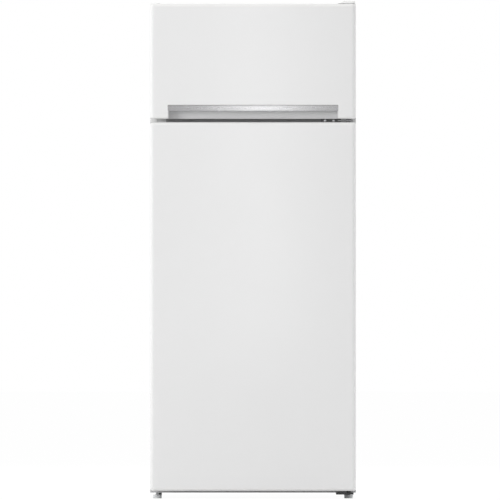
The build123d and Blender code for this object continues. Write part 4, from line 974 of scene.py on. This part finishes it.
class FRIDGE_OT_levelling_feet(bpy.types.Operator):
    """Levelling feet: a ribbed pad that fingers can turn, a neck and a threaded stud"""

    bl_idname = "fridge.levelling_feet"
    bl_label = "Build the Levelling Feet"

    RIB_SHARE = 0.98  # of the rib height, so that no rib passes the CAD solid
    PAD_RING = 0.10  # flat ring round the pad's top, of its radius
    NECK_SHARE = 0.52  # the neck's foot, of what the ring leaves
    NECK_TAPER = 0.92  # the neck's top, of its foot

    def execute(self, context):
        sizes, colours = context.scene.fridge_sizes, context.scene.fridge_colours
        f = Finish("foot_plastic", colours.foot, roughness=0.5)
        f.dusty(0.2, (0.34, 0.33, 0.31))
        f.uneven(70.0, 0.42, 0.6)
        f.grain(1000.0, 0.00004)
        low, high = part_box("left_foot")
        core = (high.x - low.x) / 2 - sizes.rib_height
        pad_top, neck_top = low.z + sizes.pad_height, low.z + sizes.neck_height
        middle = (0, 0, (pad_top + low.z) / 2)
        pad = cylinder("foot_pad", 2 * sizes.foot_ribs, core, pad_top - low.z, middle)
        step = math.pi / sizes.foot_ribs

        def is_rib(face):
            around = math.atan2(face.normal.y, face.normal.x)
            return abs(face.normal.z) < 1 - FACING and math.floor(around / step) % 2 == 0

        choose(pad, is_rib)
        rib = {"value": sizes.rib_height * self.RIB_SHARE}
        bpy.ops.mesh.extrude_region_shrink_fatten(TRANSFORM_OT_shrink_fatten=rib)
        choose(pad, lambda face: face.normal.z > FACING and len(face.verts) > 8)
        bpy.ops.mesh.inset(thickness=core * self.PAD_RING, depth=0)
        for rise, share in ((0, self.NECK_SHARE), (neck_top - pad_top, self.NECK_TAPER)):
            bpy.ops.mesh.extrude_region_move(TRANSFORM_OT_translate={"value": (0, 0, rise)})
            bpy.ops.transform.resize(value=(share, share, 1), center_override=(0, 0, pad_top + rise))
        settle(pad)
        soften(pad, sizes.foot_bevel, 35)
        middle = (0, 0, (high.z + pad_top) / 2)
        stud = cylinder("foot_stud", 20, sizes.stud_radius, high.z - pad_top, middle)
        choose(stud, lambda face: face.normal.z > FACING)
        bpy.ops.mesh.bevel(offset=sizes.stud_bevel, segments=2, affect="EDGES")
        settle(stud)
        master = joined([pad, stud], "foot")
        for side in ("left", "right"):
            node = f"{side}_foot"
            a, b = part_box(node)
            piece = copied(master, f"{side}_levelling_foot", ((a.x + b.x) / 2, (a.y + b.y) / 2, 0))
            dress(piece, f.material, "grey_plastic", node, node)
        bpy.data.objects.remove(master, do_unlink=True)
        return {"FINISHED"}


# ---------------------------------------------------------------- stage
class FRIDGE_OT_studio(bpy.types.Operator):
    """Camera, pale floor and plain soft lights"""

    bl_idname = "fridge.studio"
    bl_label = "Set up the Studio"

    LIGHTS = {  # breadth and height, and place; all aim at the object's middle
        "key": ((2.0, 2.0), (-4.2, -2.7, 1.8)),
        "fill": ((2.4, 2.4), (3.4, -3.8, 1.6)),
        "top": ((2.0, 1.0), (0, -0.7, 4.2)),
        "left_side": ((1.2, 2.4), (-4.2, 0.2, 1.2)),
        "right_side": ((1.2, 2.4), (4.2, -0.9, 1.2)),
        "back": ((2.4, 2.4), (1.5, 4.0, 3.0)),
    }
    STRIP_SIZE, STRIP_PLACE = (0.14, 1.4), (0.02, -1.3, 1.10)
    BAR_HEIGHT = 1.13  # height at which the strip aims
    FLOOR_SIZE, FLOOR_GREY = 60, (0.82, 0.82, 0.82, 1)
    FAR_CLIP = 100

    def soft_light(self, name, watts, size, place, aim):
        """A lamp that lights things without being seen or mirrored."""
        deselect()
        bpy.ops.object.light_add(type="AREA", location=place)
        lamp = bpy.context.object
        lamp.name = lamp.data.name = name
        lamp.data.energy, lamp.data.shape = watts, "RECTANGLE"
        lamp.data.size, lamp.data.size_y = size
        lamp.rotation_euler = (Vector(aim) - Vector(place)).to_track_quat("-Z", "Y").to_euler()
        lamp.visible_camera = False
        lamp.visible_glossy = False
        return lamp

    def execute(self, context):
        studio, scene = context.scene.fridge_studio, context.scene
        low, high = (Vector(c) for c in CAD_BOX)
        middle = (low + high) / 2
        scene.view_settings.view_transform = "Standard"
        deselect()
        bpy.ops.object.camera_add(
            location=(studio.view_side, low.y - studio.view_distance, studio.view_height),
            rotation=(math.pi / 2, 0, 0),
        )
        camera = bpy.context.object
        camera.name = "camera"
        camera.data.lens = camera.data.sensor_width * studio.view_distance / studio.view_width
        camera.data.clip_end = self.FAR_CLIP
        scene.camera = camera

        for name, (size, place) in self.LIGHTS.items():
            self.soft_light(name, getattr(studio, name), size, place, middle)
        aim = (self.STRIP_PLACE[0], low.y, self.BAR_HEIGHT)
        strip = self.soft_light("strip", studio.strip, self.STRIP_SIZE, self.STRIP_PLACE, aim)
        strip.visible_glossy, strip.visible_diffuse = True, False
        self.surround(scene, studio)
        self.floor(studio)
        return {"FINISHED"}

    def surround(self, scene, studio):
        """A world that shines evenly but is seen as plain white."""
        world = bpy.data.worlds.new("surround")
        scene.world = world
        world.use_nodes = True
        tree = world.node_tree
        tree.nodes.clear()
        even = put(tree, "ShaderNodeBackground", {"Strength": studio.world})
        white = put(tree, "ShaderNodeBackground", {"Strength": 1.0})
        for sky in (even, white):
            sky.inputs["Color"].default_value = (1, 1, 1, 1)
        sockets = {0: self.seen(tree), 1: even.outputs[0], 2: white.outputs[0]}
        mix = put(tree, "ShaderNodeMixShader", sockets)
        put(tree, "ShaderNodeOutputWorld", {"Surface": mix.outputs[0]})

    def floor(self, studio):
        """A white floor that glows for the camera but lights things only as a matt one does."""
        deselect()
        bpy.ops.mesh.primitive_plane_add(size=self.FLOOR_SIZE, location=(0, 0, 0))
        floor = named("floor")
        material = bpy.data.materials.new("floor_white")
        material.use_nodes = True
        tree = material.node_tree
        tree.nodes.clear()
        matt = put(tree, "ShaderNodeBsdfDiffuse", {"Color": self.FLOOR_GREY})
        glow = put(tree, "ShaderNodeEmission", {"Color": (1, 1, 1, 1), "Strength": studio.glow})
        share = calc(tree, "MULTIPLY", self.seen(tree), studio.glow_share)
        mix = put(tree, "ShaderNodeMixShader", {0: share, 1: matt.outputs[0], 2: glow.outputs[0]})
        put(tree, "ShaderNodeOutputMaterial", {"Surface": mix.outputs[0]})
        floor.data.materials.append(material)

    def seen(self, tree):
        """1 for rays that the camera, gloss or glass sends, 0 for the light that shines on things."""
        rays = put(tree, "ShaderNodeLightPath").outputs
        camera_or_gloss = calc(tree, "MAXIMUM", rays["Is Camera Ray"], rays["Is Glossy Ray"])
        return calc(tree, "MAXIMUM", camera_or_gloss, rays["Is Transmission Ray"])


class FRIDGE_OT_effects(bpy.types.Operator):
    """Shared shader groups: grain, patches, brushed lines, spangle, cells, dust and edge wear"""

    bl_idname = "fridge.effects"
    bl_label = "Build the Shared Effects"

    def execute(self, context):
        for build in (
            build_grain, build_patches, build_brushed, build_spangle,
            build_cells, build_dust, build_edges,
        ):
            build()
        return {"FINISHED"}


# ---------------------------------------------------------------- add-on
STEPS = (
    FRIDGE_OT_effects, FRIDGE_OT_doors, FRIDGE_OT_cabinet, FRIDGE_OT_handle, FRIDGE_OT_hinges,
    FRIDGE_OT_liners, FRIDGE_OT_shelves, FRIDGE_OT_drawers, FRIDGE_OT_controls, FRIDGE_OT_cooling,
    FRIDGE_OT_sheet_metal, FRIDGE_OT_door_seals, FRIDGE_OT_screws, FRIDGE_OT_dial_marks,
    FRIDGE_OT_levelling_feet, FRIDGE_OT_studio,
)


class FRIDGE_PT_steps(bpy.types.Panel):
    """Lists the steps, in the order in which main runs them."""

    bl_label = "Top Freezer Refrigerator"
    bl_space_type = "VIEW_3D"
    bl_region_type = "UI"
    bl_category = "Fridge"

    def draw(self, context):
        for settings in ("fridge_colours", "fridge_sizes", "fridge_studio"):
            box = self.layout.box()
            group = getattr(context.scene, settings)
            for name in group.__annotations__:
                box.prop(group, name)
        for step in STEPS:
            self.layout.operator(step.bl_idname)


CLASSES = (FridgeColours, FridgeSizes, FridgeStudio, *STEPS, FRIDGE_PT_steps)


def register():
    for each in CLASSES:
        bpy.utils.register_class(each)
    bpy.types.Scene.fridge_colours = bpy.props.PointerProperty(type=FridgeColours)
    bpy.types.Scene.fridge_sizes = bpy.props.PointerProperty(type=FridgeSizes)
    bpy.types.Scene.fridge_studio = bpy.props.PointerProperty(type=FridgeStudio)


def unregister():
    del bpy.types.Scene.fridge_colours, bpy.types.Scene.fridge_sizes, bpy.types.Scene.fridge_studio
    for each in reversed(CLASSES):
        bpy.utils.unregister_class(each)


def main():
    register()
    for step in STEPS:
        family, name = step.bl_idname.split(".")
        getattr(getattr(bpy.ops, family), name)()


if __name__ == "__main__":
    main()
